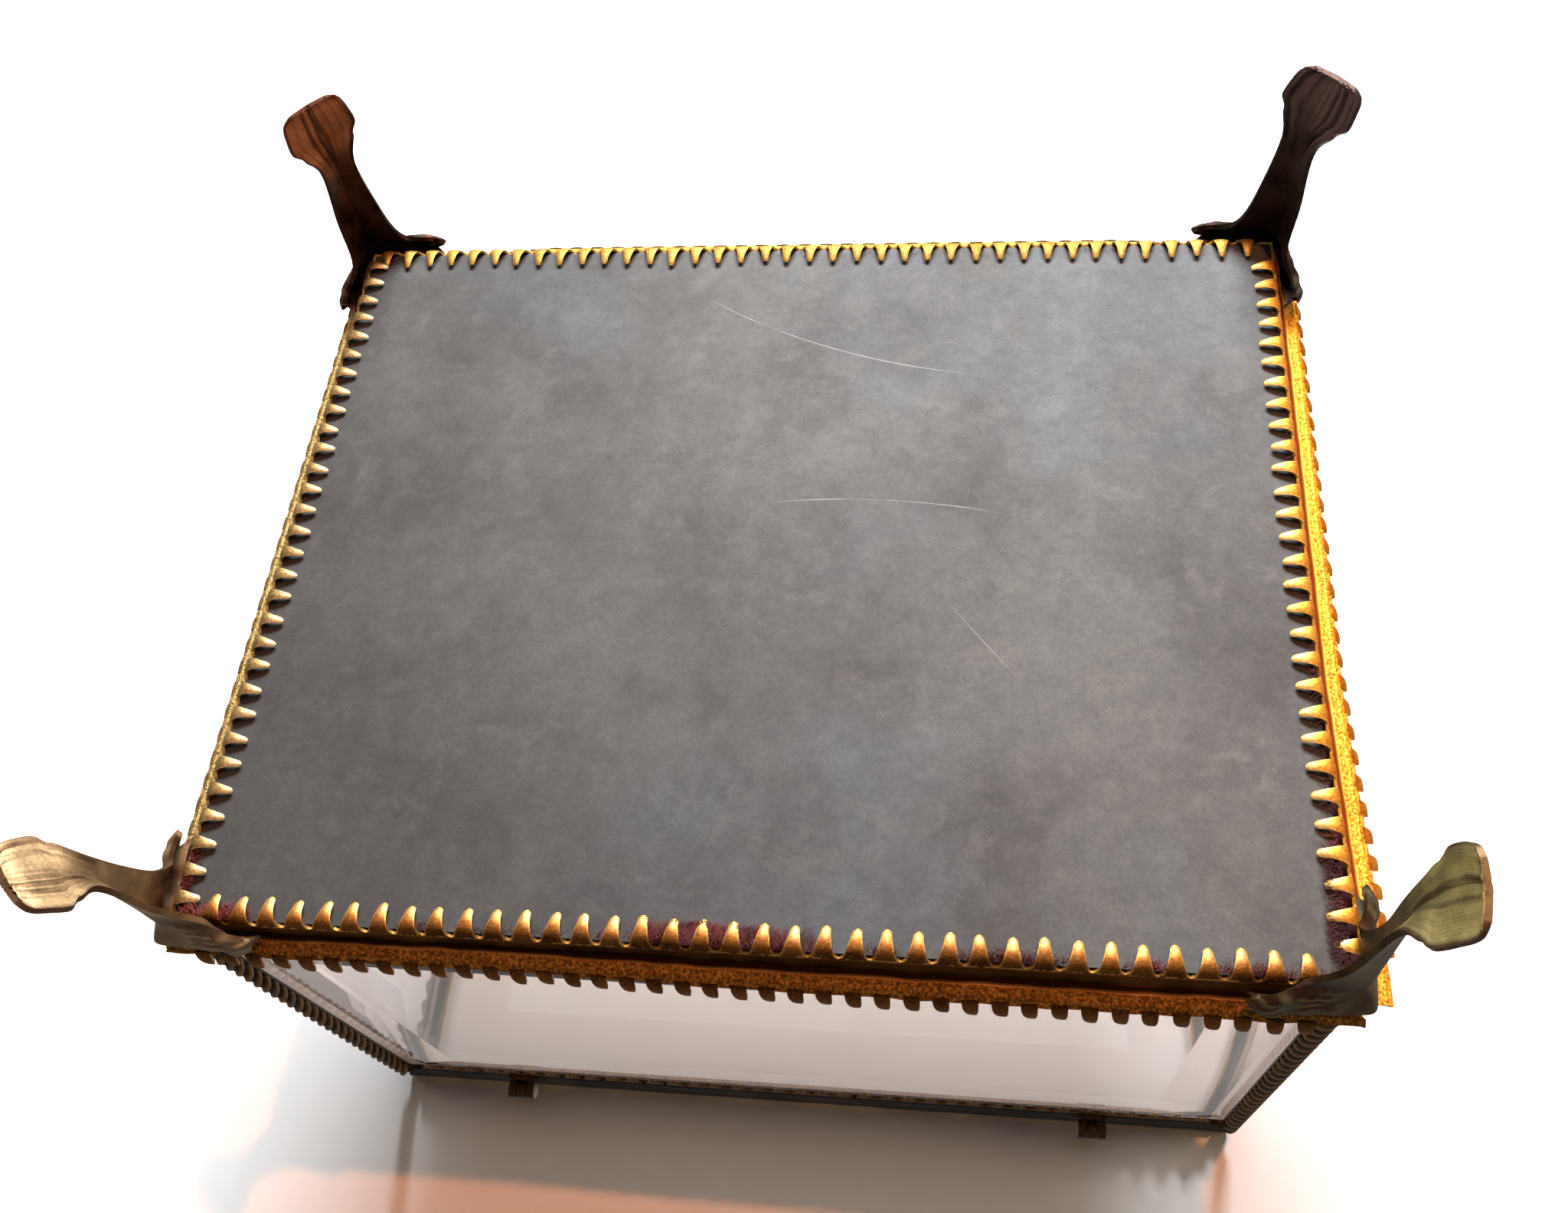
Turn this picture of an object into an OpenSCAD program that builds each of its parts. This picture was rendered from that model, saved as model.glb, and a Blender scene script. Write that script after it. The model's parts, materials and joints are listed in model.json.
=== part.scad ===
// Glass casket box: bevelled panes held by gilt claw strips, twisted corner
// posts, a sheet-metal base, four leaf feet and a glass lid on two small hinges.
// Origin: centre of the footprint at floor level. +Z up, front at -Y, hinges at +Y.

/* [Case] */
// Width of the case, over the edges of the side panes
case_w = 132; // [100:1:170]
// Depth of the case, over the edges of the front and rear panes
case_d = 104; // [80:1:140]
// Height of the four wall panes
pane_h = 79; // [50:1:110]
// Thickness of the glass inside its bevel
pane_t = 4; // [3.5:0.1:5]
// Width of the bevel ground on each pane
bevel_w = 14; // [10:1:20]
// Depth of the bevel at the edge of a pane
bevel_drop = 1.4; // [0.8:0.1:1.8]

/* [Base] */
// Height of the base plate above the floor
foot_h = 25.5; // [22:0.5:36]
// Thickness of the base plate
plate_t = 0.8; // [0.6:0.1:1.5]
// Thickness of the velvet floor at its edge
velvet_t = 3; // [2:0.5:6]
// Extra height of the velvet floor at its middle
velvet_crown = 1.5; // [0.5:0.25:3]

/* [Claw strips] */
// Sheet thickness of the gilt strips
strip_t = 0.6; // [0.4:0.05:0.8]
// Distance from claw to claw
claw_pitch = 3.4; // [2.8:0.1:4.5]
// Length of the claws that grip a flat face
claw_len = 3; // [2:0.1:4]
// Width of a claw at its root
claw_root_w = 2.5; // [2:0.1:2.7]
// Width of a claw at its tip
claw_tip_w = 1.2; // [0.8:0.1:1.6]
// Reach of the base strip's first ridge from the case
ridge_reach = 1.4; // [1:0.1:2]
// Height of the first ridge above the base plate's underside
ridge_rise = 2.7; // [2:0.1:3]
// Reach of the base strip's outer lip from the case
lip_reach = 3.4; // [3:0.1:4]
// Height of the outer lip above the base plate's underside
lip_rise = 3.6; // [3.3:0.1:4.4]
// Length of the hooked claws that stand on the outer lip
hook_len = 2.3; // [1.5:0.1:4]
// Outward lean of the hooked claws from upright
hook_lean = 25; // [10:1:40]
// Outward lean of the right side's hooked claws, which are bent further
bent_hook_lean = 32; // [20:1:50]

/* [Posts and rim] */
// Width of the square bar inside each corner post
post_w = 4.2; // [3.6:0.1:5.5]
// Radius of the twisted bead on each corner
bead_r = 1.2; // [0.9:0.05:1.6]
// Distance of the bead's axis outside both walls
bead_out = 0.5; // [0.2:0.05:0.7]
// Thickness of the cap strip on the panes
rim_t = 0.8; // [0.6:0.05:1.2]
// Height of the rim's outer band above its claws
rim_skirt = 1.2; // [0.8:0.1:2]
// Length of the rim's downward claws
rim_claw_len = 2; // [1:0.1:3]

/* [Lid] */
// Height of the lid's frame
lid_h = 4.6; // [4:0.1:6]
// Width of the ledge that carries the lid glass
lid_ledge = 4.6; // [3:0.1:7]

/* [Hinges] */
// Distance from each end of the case to the hinge beside it
hinge_inset = 20.5; // [18:0.5:35]
// Outer radius of the hinge knuckles
knuckle_r = 1.4; // [1.2:0.05:1.8]
// Radius of the hinge pins
pin_r = 0.6; // [0.4:0.05:0.7]
// Length of the lid's knuckle
lid_knuckle_l = 1.5; // [1:0.1:4]
// Length of each of the case's two knuckles
case_knuckle_l = 1.2; // [0.8:0.1:3]

/* [Feet] */
// Sheet thickness of the feet
foot_t = 0.8; // [0.6:0.05:1.2]
// Length of each wing of a foot along the case
wing_l = 13; // [9:0.5:16]
// Height of the wings' upper edge above the base plate's underside
wing_rise = 1.6; // [1:0.1:2.2]
// Reach of the wings' upper edge from the case
wing_reach = 1.5; // [1.3:0.1:2.2]
// Half width of the leg under the wings
shin_w = 4; // [3:0.1:4.5]
// Half width of the ankle
ankle_w = 2.7; // [1.6:0.1:3]
// Height of the ankle above the floor
ankle_z = 7.6; // [6.5:0.1:9]
// Half width of the leaf pad
leaf_w = 5; // [3.4:0.1:5.5]
// Height of the leaf pad's widest part above the floor
leaf_z = 4.5; // [3.5:0.1:5.5]
// Distance of the ankle inside the case corner, along the diagonal
ankle_in = 0.5; // [0:0.1:2]
// Distance of the leaf's end outside the case corner, along the diagonal
leaf_out = 2.8; // [1:0.1:4]

/* [Hidden] */
$fn = 48;

// Clearances
plate_inset = 0.3;   // base plate inside the strips
pane_gap = 0.1;      // pane ends to the posts
post_set = 0.15;     // post bars inside their corners
pane_set = 0.4;      // pane edge behind the strips' faces
velvet_gap = 0.5;    // velvet floor to the panes
lid_gap = 0.3;       // lid above the rim
glass_gap = 0.2;     // lid glass inside its frame
pin_gap = 0.05;      // hinge pin in its bores
knuckle_gap = 0.15;  // knuckle to knuckle
barrel_gap = 0.2;    // knuckles to the swinging lid frame
wing_gap = 0.12;     // foot wings to the base strip
lap = 0.3;           // overlap of fused shapes in one piece
strip_set = 0.1;     // back of the base strips inside the case plane

// Heights
pane_z = foot_h + plate_t;
rim_z = pane_z + pane_h;
lid_z = rim_z + rim_t + lid_gap;
axis_z = rim_z + rim_t + lid_gap / 2;
axis_y = case_d / 2 + strip_t + knuckle_r + barrel_gap;
hinge_x = case_w / 2 - hinge_inset;
pane_edge_t = pane_t - bevel_drop;
pane_front_u = bevel_drop - pane_set;   // face of a pane outside the case plane
pane_back_u = pane_front_u - pane_t;    // inner face of a pane

// Each side's claws start at their own place along the strip
front_phase = 2.1;
rear_phase = 0.3;
left_phase = 1.95;
right_phase = 2.7;
claw_margin = 2.2;   // last claw root to the end of a strip
end_margin = 1;      // strip end to the outer corner bead
claw_waist = 0.55;   // share of a claw's length where its sides turn parallel
claw_shoulder = 0.85; // share of a claw's length where its tip rounds off

gilt = "goldenrod";
old_brass = "peru";
glass = [0.85, 0.92, 0.92, 0.4];
zinc = "dimgray";

// A row of claws along X: roots at y = root, tips at y = -reach
function claw_xs(half, phase) =
    [for (i = [ceil((-half - phase) / claw_pitch) : floor((half - phase) / claw_pitch)])
        phase + i * claw_pitch];

module claw_row(half, phase, reach, root = lap) {
    waist = -reach * claw_waist;
    shoulder = -reach * claw_shoulder;
    for (x = claw_xs(half - claw_margin, phase))
        translate([x, 0])
            polygon([
                [-claw_root_w / 2, root], [-claw_root_w / 2, -lap],
                [-claw_tip_w / 2, waist], [-claw_tip_w / 2, shoulder],
                [-claw_tip_w / 4, -reach], [claw_tip_w / 4, -reach],
                [claw_tip_w / 2, shoulder], [claw_tip_w / 2, waist],
                [claw_root_w / 2, -lap], [claw_root_w / 2, root]
            ]);
}

// Turns a piece built for the rear side (case plane at y = 0) onto one side
module on_side(side) {
    if (side == "rear") translate([0, case_d / 2, 0]) children();
    if (side == "front") translate([0, -case_d / 2, 0]) rotate(180) children();
    if (side == "right") translate([case_w / 2, 0, 0]) rotate(-90) children();
    if (side == "left") translate([-case_w / 2, 0, 0]) rotate(90) children();
}

// Keeps what lies between the ends of a side: mitred inside the case plane,
// and cut square outside it, past_corner beyond the corner
module mitred(length, past_corner) {
    reach = lip_reach + hook_len + end_margin;
    depth = claw_len + max(lid_ledge, post_w) + end_margin;
    half = length / 2;
    tall = lid_h + lip_rise + hook_len + rim_skirt + rim_claw_len;
    intersection() {
        children();
        translate([0, 0, -tall])
            linear_extrude(2 * tall)
                polygon([
                    [-half - past_corner, reach], [-half - past_corner, past_corner],
                    [-half + depth, -depth], [half - depth, -depth],
                    [half + past_corner, past_corner], [half + past_corner, reach]
                ]);
    }
}

// A strip of constant outline [outward, up] along a side
module along(length, outline) {
    rotate([90, 0, 90])
        translate([0, 0, -length / 2])
            linear_extrude(length)
                polygon(outline);
}

// Hollow between the claws' flange and the first ridge, as points of an arc
cove_sag = 0.55;
cove_steps = 6;
function cove_point(k) =
    let (s = k / cove_steps, bow = 4 * cove_sag * s * (1 - s), rise = ridge_rise + strip_t)
    [ridge_reach * s - bow * rise / norm([ridge_reach, rise]),
     -strip_t + rise * s + bow * ridge_reach / norm([ridge_reach, rise])];

module base_strip(side, length, phase, lean) {
    outline = concat(
        [for (k = [0 : cove_steps]) [max(cove_point(k)[0], 0), cove_point(k)[1]]],
        [
            [lip_reach, lip_rise - strip_t], [lip_reach, lip_rise],
            [-strip_set, lip_rise], [-strip_set, 0], [-lap, 0], [-lap, -strip_t]
        ]
    );
    color(gilt)
        on_side(side)
            translate([0, 0, foot_h])
                mitred(length, 0)
                    union() {
                        along(length, outline);
                        translate([0, 0, -strip_t])
                            linear_extrude(strip_t)
                                claw_row(length / 2, phase, claw_len, 0);
                        translate([0, lip_reach - strip_t, lip_rise - lap])
                            rotate([90 - lean, 0, 0])
                                rotate([0, 180, 0])
                                    linear_extrude(strip_t)
                                        rotate(180)
                                            claw_row(length / 2, -phase, hook_len);
                    }
}

module base_strip_front() { base_strip("front", case_w, front_phase, hook_lean); }
module base_strip_rear() { base_strip("rear", case_w, rear_phase, hook_lean); }
module base_strip_left() { base_strip("left", case_d, left_phase, hook_lean); }
module base_strip_right() { base_strip("right", case_d, right_phase, bent_hook_lean); }

module base_plate() {
    color(zinc)
        translate([0, 0, foot_h])
            linear_extrude(plate_t)
                square([case_w - 2 * plate_inset, case_d - 2 * plate_inset], center = true);
}

// Outline of a crowned slab: flat below, an arc above
function crown(width, edge, rise, steps = 12) =
    concat(
        [[width / 2, 0]],
        [for (k = [0 : steps])
            let (s = 1 - 2 * k / steps)
            [s * width / 2, edge + rise * (1 - s * s)]],
        [[-width / 2, 0]]
    );

module velvet_floor() {
    inner_w = case_w + 2 * pane_back_u - 2 * velvet_gap;
    inner_d = case_d + 2 * pane_back_u - 2 * velvet_gap;
    color("darkred")
        translate([0, 0, pane_z])
            intersection() {
                along(inner_w, crown(inner_d, velvet_t, velvet_crown));
                rotate(90) along(inner_d, crown(inner_w, velvet_t, velvet_crown));
            }
}

// Outline across a pane: back flat at y = 0, face bevelled at both ends
function bevelled(width) = [
    [-width / 2, 0], [width / 2, 0],
    [width / 2, pane_edge_t], [width / 2 - bevel_w, pane_t],
    [-width / 2 + bevel_w, pane_t], [-width / 2, pane_edge_t]
];

// A pane lying face up, centred
module bevel_glass(width, height) {
    intersection() {
        rotate([90, 0, 0])
            translate([0, 0, -height / 2])
                linear_extrude(height)
                    polygon(bevelled(width));
        rotate([90, 0, 90])
            translate([0, 0, -width / 2])
                linear_extrude(width)
                    polygon(bevelled(height));
    }
}

module wall_pane(side, length) {
    width = length - 2 * post_w - 2 * pane_gap;
    color(glass)
        on_side(side)
            translate([0, pane_back_u, pane_z + pane_h / 2])
                rotate([-90, 0, 0])
                    bevel_glass(width, pane_h);
}

module pane_front() { wall_pane("front", case_w); }
module pane_rear() { wall_pane("rear", case_w); }
module pane_left() { wall_pane("left", case_d); }
module pane_right() { wall_pane("right", case_d); }

// Corner post: a bar between two panes with a round bead on its outer edge
module corner_post(sx, sy) {
    bead_z = foot_h + lip_rise;
    color(old_brass)
        union() {
            translate([sx * (case_w - post_w) / 2, sy * (case_d - post_w) / 2, pane_z])
                linear_extrude(pane_h)
                    square(post_w - 2 * post_set, center = true);
            translate([sx * (case_w / 2 + bead_out), sy * (case_d / 2 + bead_out), bead_z])
                cylinder(r = bead_r, h = rim_z + rim_t - bead_z);
        }
}

module post_front_left() { corner_post(-1, -1); }
module post_front_right() { corner_post(1, -1); }
module post_rear_left() { corner_post(-1, 1); }
module post_rear_right() { corner_post(1, 1); }

// Cap strip on the top edge of a pane, with claws down its outer face
module rim_strip(side, length, phase) {
    flange_l = length - 2 * (bead_r - bead_out) - 2 * end_margin;
    bead_clear = bead_r - bead_out + pane_gap;
    color(gilt)
        on_side(side)
            translate([0, 0, rim_z])
                difference() {
                    mitred(length, 0)
                        union() {
                            along(length, [[-post_w, 0], [0, 0], [0, rim_t], [-post_w, rim_t]]);
                            along(flange_l, [
                                [-lap, 0], [0, 0], [0, -rim_skirt],
                                [strip_t, -rim_skirt], [strip_t, rim_t], [-lap, rim_t]
                            ]);
                            translate([0, strip_t, -rim_skirt])
                                rotate([90, 0, 0])
                                    linear_extrude(strip_t)
                                        claw_row(flange_l / 2, phase, rim_claw_len);
                        }
                    for (s = [-1, 1])
                        translate([s * length / 2, 0, -lap])
                            linear_extrude(rim_t + 2 * lap)
                                square(2 * bead_clear, center = true);
                }
}

module rim_front() { rim_strip("front", case_w, front_phase); }
module rim_rear() { rim_strip("rear", case_w, rear_phase); }
module rim_left() { rim_strip("left", case_d, left_phase); }
module rim_right() { rim_strip("right", case_d, right_phase); }

// Lid frame: a channel with a ledge below the glass and claws over its edge
module lid_frame(side, length, phase) {
    outer = length + 2 * strip_t;
    color(gilt)
        on_side(side)
            translate([0, 0, lid_z])
                mitred(length, strip_t)
                    union() {
                        along(outer, [
                            [-lid_ledge, 0], [strip_t, 0], [strip_t, lid_h],
                            [0, lid_h], [0, strip_t], [-lid_ledge, strip_t]
                        ]);
                        translate([0, 0, lid_h - strip_t])
                            linear_extrude(strip_t)
                                claw_row(length / 2, phase, claw_len);
                    }
}

module lid_frame_front() { lid_frame("front", case_w, front_phase); }
module lid_frame_rear() { lid_frame("rear", case_w, rear_phase); }
module lid_frame_left() { lid_frame("left", case_d, left_phase); }
module lid_frame_right() { lid_frame("right", case_d, right_phase); }

module lid_glass() {
    color(glass)
        translate([0, 0, lid_z + strip_t])
            bevel_glass(case_w - 2 * glass_gap, case_d - 2 * glass_gap);
}

// Hinge knuckle along X with a web to the face at y = case_d / 2 + strip_t
module knuckle(length, web_z) {
    face_y = case_d / 2 + strip_t;
    web_low = min(0, web_z);
    difference() {
        translate([-length / 2, 0, 0])
            rotate([90, 0, 90])
                linear_extrude(length)
                    union() {
                        translate([axis_y, axis_z]) circle(r = knuckle_r);
                        translate([face_y, axis_z + web_low])
                            square([axis_y - face_y, abs(web_z)]);
                    }
        translate([-length, axis_y, axis_z])
            rotate([0, 90, 0])
                cylinder(r = pin_r + pin_gap, h = 2 * length);
    }
}

module hinge_ears(sx) {
    step = (lid_knuckle_l + case_knuckle_l) / 2 + knuckle_gap;
    color(old_brass)
        translate([sx * hinge_x, 0, 0])
            union() {
                for (s = [-1, 1])
                    translate([s * step, 0, 0])
                        knuckle(case_knuckle_l, -knuckle_r);
                translate([-step - case_knuckle_l / 2, case_d / 2 + strip_t, axis_z - knuckle_r - rim_skirt])
                    cube([2 * step + case_knuckle_l, strip_t, rim_skirt + lap]);
            }
}

module hinge_pin(sx) {
    pin_l = lid_knuckle_l + 2 * case_knuckle_l + 2 * knuckle_gap;
    color(old_brass)
        translate([sx * hinge_x - pin_l / 2, axis_y, axis_z])
            rotate([0, 90, 0])
                cylinder(r = pin_r, h = pin_l);
}

module lid_knuckle(sx) {
    color(old_brass)
        translate([sx * hinge_x, 0, 0])
            knuckle(lid_knuckle_l, knuckle_r);
}

module hinge_ears_left() { hinge_ears(-1); }
module hinge_ears_right() { hinge_ears(1); }
module hinge_pin_left() { hinge_pin(-1); }
module hinge_pin_right() { hinge_pin(1); }
module lid_knuckle_left() { lid_knuckle(-1); }
module lid_knuckle_right() { lid_knuckle(1); }

// Feet: a folded sheet, built as level rings [height, fold line along the
// diagonal from the case corner, half width, depth of the fold]
wing_w = wing_l / sqrt(2);
wing_top_z = foot_h + wing_rise;
wing_low_z = foot_h - strip_t - wing_gap;
shin_z = (ankle_z + wing_low_z) / 2;
shin_in = ankle_in - 0.3;   // fold line at the shin, inside the corner
knee_in = ankle_in - 0.6;   // fold line under the wings, inside the corner
knee_h = 3;                 // knee below the wings' lower edge
flare_h = 1;                // start of the wings below their lower edge
wing_step = 0.3;            // wings' lower edge beyond the case plane
leaf_lean = 2.5;            // leaf's end beyond its widest part
cup = 0.3;                  // depth of the fold at the leaf's end
knee_w = shin_w + 0.2;
flare_w = (shin_w + wing_w) / 2;
foot_rings = [
    [0, leaf_out, leaf_w * 0.6, cup],
    [leaf_z * 0.15, leaf_out - leaf_lean * 0.16, leaf_w * 0.88, cup],
    [leaf_z * 0.45, leaf_out - leaf_lean * 0.52, leaf_w, cup * 1.3],
    [leaf_z, leaf_out - leaf_lean, leaf_w, cup * 1.6],
    [ankle_z, -ankle_in, ankle_w, ankle_w * 0.37],
    [shin_z, -shin_in, (ankle_w + shin_w) / 2, shin_w / 2],
    [wing_low_z - knee_h, -knee_in, knee_w, knee_w],
    [wing_low_z - flare_h, wing_gap * sqrt(2), flare_w, flare_w],
    [wing_low_z, (wing_gap + wing_step) * sqrt(2), wing_w, wing_w],
    [wing_top_z, wing_reach * sqrt(2), wing_w, wing_w]
];
// How far each foot is bent outward at the floor, [along X, along Y], and its twist
front_left_bend = [-1.5, 0.8, 0];
front_right_bend = [1, 0.6, 0];
rear_left_bend = [1, 1.8, 0];
rear_right_bend = [3.2, -4.4, -40];
ring_steps = 3;
fold_steps = 5;

// Smooth value of column c between rings i and i + 1
function blend(i, s, c) =
    let (
        n = len(foot_rings),
        a = foot_rings[max(i - 1, 0)][c], b = foot_rings[i][c],
        d = foot_rings[min(i + 1, n - 1)][c], e = foot_rings[min(i + 2, n - 1)][c]
    )
    b + 0.5 * s * (d - a + s * (2 * a - 5 * b + 4 * d - e + s * (3 * (b - d) + e - a)));

module foot(sx, sy, bend) {
    spans = len(foot_rings) - 1;
    rings = [for (i = [0 : spans - 1]) for (k = [0 : (i == spans - 1 ? ring_steps : ring_steps - 1)])
        [for (c = [0 : 3]) c == 0 || i >= spans - 2
            ? foot_rings[i][c] + (foot_rings[i + 1][c] - foot_rings[i][c]) * k / ring_steps
            : blend(i, k / ring_steps, c)]];
    per = 2 * (2 * fold_steps + 1);
    function edge(r, j, out) =
        let (
            s = j / fold_steps,
            middle = foot_t / sqrt(2),
            fold = out - middle - r[3] * abs(s),
            side = r[2] * s,
            lean = pow(max(1 - r[0] / wing_low_z, 0), 2),
            turn = 45 + bend[2] * lean,
            x = (r[1] + middle) / sqrt(2) + fold * cos(turn) - side * sin(turn) + bend[0] * lean,
            y = (r[1] + middle) / sqrt(2) + fold * sin(turn) + side * cos(turn) + bend[1] * lean
        )
        [sx * (case_w / 2 + x), sy * (case_d / 2 + y), r[0]];
    points = [for (r = rings) each concat(
        [for (j = [-fold_steps : fold_steps]) edge(r, j, foot_t * sqrt(2))],
        [for (j = [fold_steps : -1 : -fold_steps]) edge(r, j, 0)])];
    last = (len(rings) - 1) * per;
    faces = concat(
        [for (k = [0 : len(rings) - 2]) for (j = [0 : per - 1])
            let (a = k * per + j, b = k * per + (j + 1) % per)
            each [[a, b, b + per], [a, b + per, a + per]]],
        [for (j = [0 : per / 2 - 2])
            each [[j, per - 1 - j, per - 2 - j], [j, per - 2 - j, j + 1]]],
        [for (j = [0 : per / 2 - 2])
            each [[last + j, last + per - 2 - j, last + per - 1 - j],
                  [last + j, last + j + 1, last + per - 2 - j]]]
    );
    mirrored = [for (f = faces) [f[0], f[2], f[1]]];
    color(old_brass)
        polyhedron(points, sx * sy > 0 ? faces : mirrored);
}

module foot_front_left() { foot(-1, -1, front_left_bend); }
module foot_front_right() { foot(1, -1, front_right_bend); }
module foot_rear_left() { foot(-1, 1, rear_left_bend); }
module foot_rear_right() { foot(1, 1, rear_right_bend); }

base_plate();
velvet_floor();
base_strip_front();
base_strip_rear();
base_strip_left();
base_strip_right();
pane_front();
pane_rear();
pane_left();
pane_right();
post_front_left();
post_front_right();
post_rear_left();
post_rear_right();
rim_front();
rim_rear();
rim_left();
rim_right();
foot_front_left();
foot_front_right();
foot_rear_left();
foot_rear_right();
hinge_ears_left();
hinge_ears_right();
hinge_pin_left();
hinge_pin_right();
lid_glass();
lid_frame_front();
lid_frame_rear();
lid_frame_left();
lid_frame_right();
lid_knuckle_left();
lid_knuckle_right();
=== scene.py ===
"""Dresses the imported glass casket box: stamped gilt claw strips, twisted corner wires,
bevelled glass, a zinc base plate, leaf feet, a velvet floor pad, and the stage."""

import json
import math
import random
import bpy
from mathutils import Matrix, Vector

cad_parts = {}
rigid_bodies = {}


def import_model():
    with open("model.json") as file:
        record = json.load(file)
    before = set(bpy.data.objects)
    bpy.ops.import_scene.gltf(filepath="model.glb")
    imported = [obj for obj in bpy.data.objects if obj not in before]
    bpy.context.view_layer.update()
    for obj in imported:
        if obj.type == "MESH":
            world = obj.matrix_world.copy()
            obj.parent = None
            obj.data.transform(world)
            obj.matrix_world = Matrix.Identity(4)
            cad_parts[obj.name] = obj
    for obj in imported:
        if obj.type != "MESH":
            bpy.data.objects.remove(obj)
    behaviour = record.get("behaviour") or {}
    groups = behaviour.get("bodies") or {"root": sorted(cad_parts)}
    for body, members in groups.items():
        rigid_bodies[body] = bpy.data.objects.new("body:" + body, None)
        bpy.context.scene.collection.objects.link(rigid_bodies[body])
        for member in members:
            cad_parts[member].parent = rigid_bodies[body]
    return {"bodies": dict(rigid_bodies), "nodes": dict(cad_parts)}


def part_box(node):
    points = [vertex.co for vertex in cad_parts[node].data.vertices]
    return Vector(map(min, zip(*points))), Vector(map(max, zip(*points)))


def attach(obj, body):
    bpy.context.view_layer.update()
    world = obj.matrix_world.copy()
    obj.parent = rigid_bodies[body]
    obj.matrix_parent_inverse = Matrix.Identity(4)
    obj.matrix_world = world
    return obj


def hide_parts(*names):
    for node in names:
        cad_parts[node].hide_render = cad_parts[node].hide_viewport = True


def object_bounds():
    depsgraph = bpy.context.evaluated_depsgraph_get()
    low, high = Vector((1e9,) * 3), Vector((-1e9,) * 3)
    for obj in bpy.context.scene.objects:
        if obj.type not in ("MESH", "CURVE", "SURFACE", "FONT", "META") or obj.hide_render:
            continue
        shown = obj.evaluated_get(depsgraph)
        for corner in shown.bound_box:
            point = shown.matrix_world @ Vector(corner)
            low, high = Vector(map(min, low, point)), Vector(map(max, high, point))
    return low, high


bl_info = {
    "name": "Glass casket box",
    "version": (1, 0, 0),
    "blender": (4, 5, 0),
    "location": "3D View > Sidebar > Casket",
    "description": "Builds the visible pieces of a glass casket box around its solid frame",
    "category": "Object",
}

import bmesh
import bpy
import numpy as np
from mathutils import Matrix, Vector

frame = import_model()
CAD_BOX = [list(corner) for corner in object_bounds()]

MM = 0.001
PLATE_INSET = 0.3 * MM
PLATE_LOW, PLATE_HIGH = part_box("base_plate")
HALF_W = PLATE_HIGH.x + PLATE_INSET
HALF_D = PLATE_HIGH.y + PLATE_INSET
BASE_Z = PLATE_LOW.z
PANE_LOW, PANE_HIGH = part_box("pane_rear")
RIM_Z = PANE_HIGH.z
LID_LOW, LID_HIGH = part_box("lid_frame_rear")
CORNERS = {
    "front_left": (-1, -1), "front_right": (1, -1),
    "rear_left": (-1, 1), "rear_right": (1, 1),
}
# Each side: a point on its case plane, the way along it, the way out, its half length
SIDES = {
    "front": (Vector((0, -HALF_D, 0)), Vector((-1, 0, 0)), Vector((0, -1, 0)), HALF_W),
    "rear": (Vector((0, HALF_D, 0)), Vector((1, 0, 0)), Vector((0, 1, 0)), HALF_W),
    "left": (Vector((-HALF_W, 0, 0)), Vector((0, 1, 0)), Vector((-1, 0, 0)), HALF_D),
    "right": (Vector((HALF_W, 0, 0)), Vector((0, -1, 0)), Vector((1, 0, 0)), HALF_D),
}
CLAW_PHASE = {"front": 2.1 * MM, "rear": 0.3 * MM, "left": 1.95 * MM, "right": 2.7 * MM}


def linear(code):
    """Turns an sRGB hex colour into Blender's linear red, green, blue and alpha."""
    parts = [int(code[i:i + 2], 16) / 255 for i in (1, 3, 5)]
    return tuple(
        c / 12.92 if c <= 0.04045 else ((c + 0.055) / 1.055) ** 2.4 for c in parts
    ) + (1.0,)


def add(tree, kind, values=None, links=None, **settings):
    """Adds one node with its settings, its sockets' own values and what feeds them."""
    made = tree.nodes.new(kind)
    for key, value in settings.items():
        setattr(made, key, value)
    for key, value in (values or {}).items():
        made.inputs[key].default_value = value
    for key, source in (links or {}).items():
        tree.links.new(source, made.inputs[key])
    return made


def blank_material(name):
    """An empty material and its node tree."""
    made = bpy.data.materials.new(name)
    made.use_nodes = True
    made.node_tree.nodes.clear()
    return made, made.node_tree


# ---------------------------------------------------------------- materials


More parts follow.
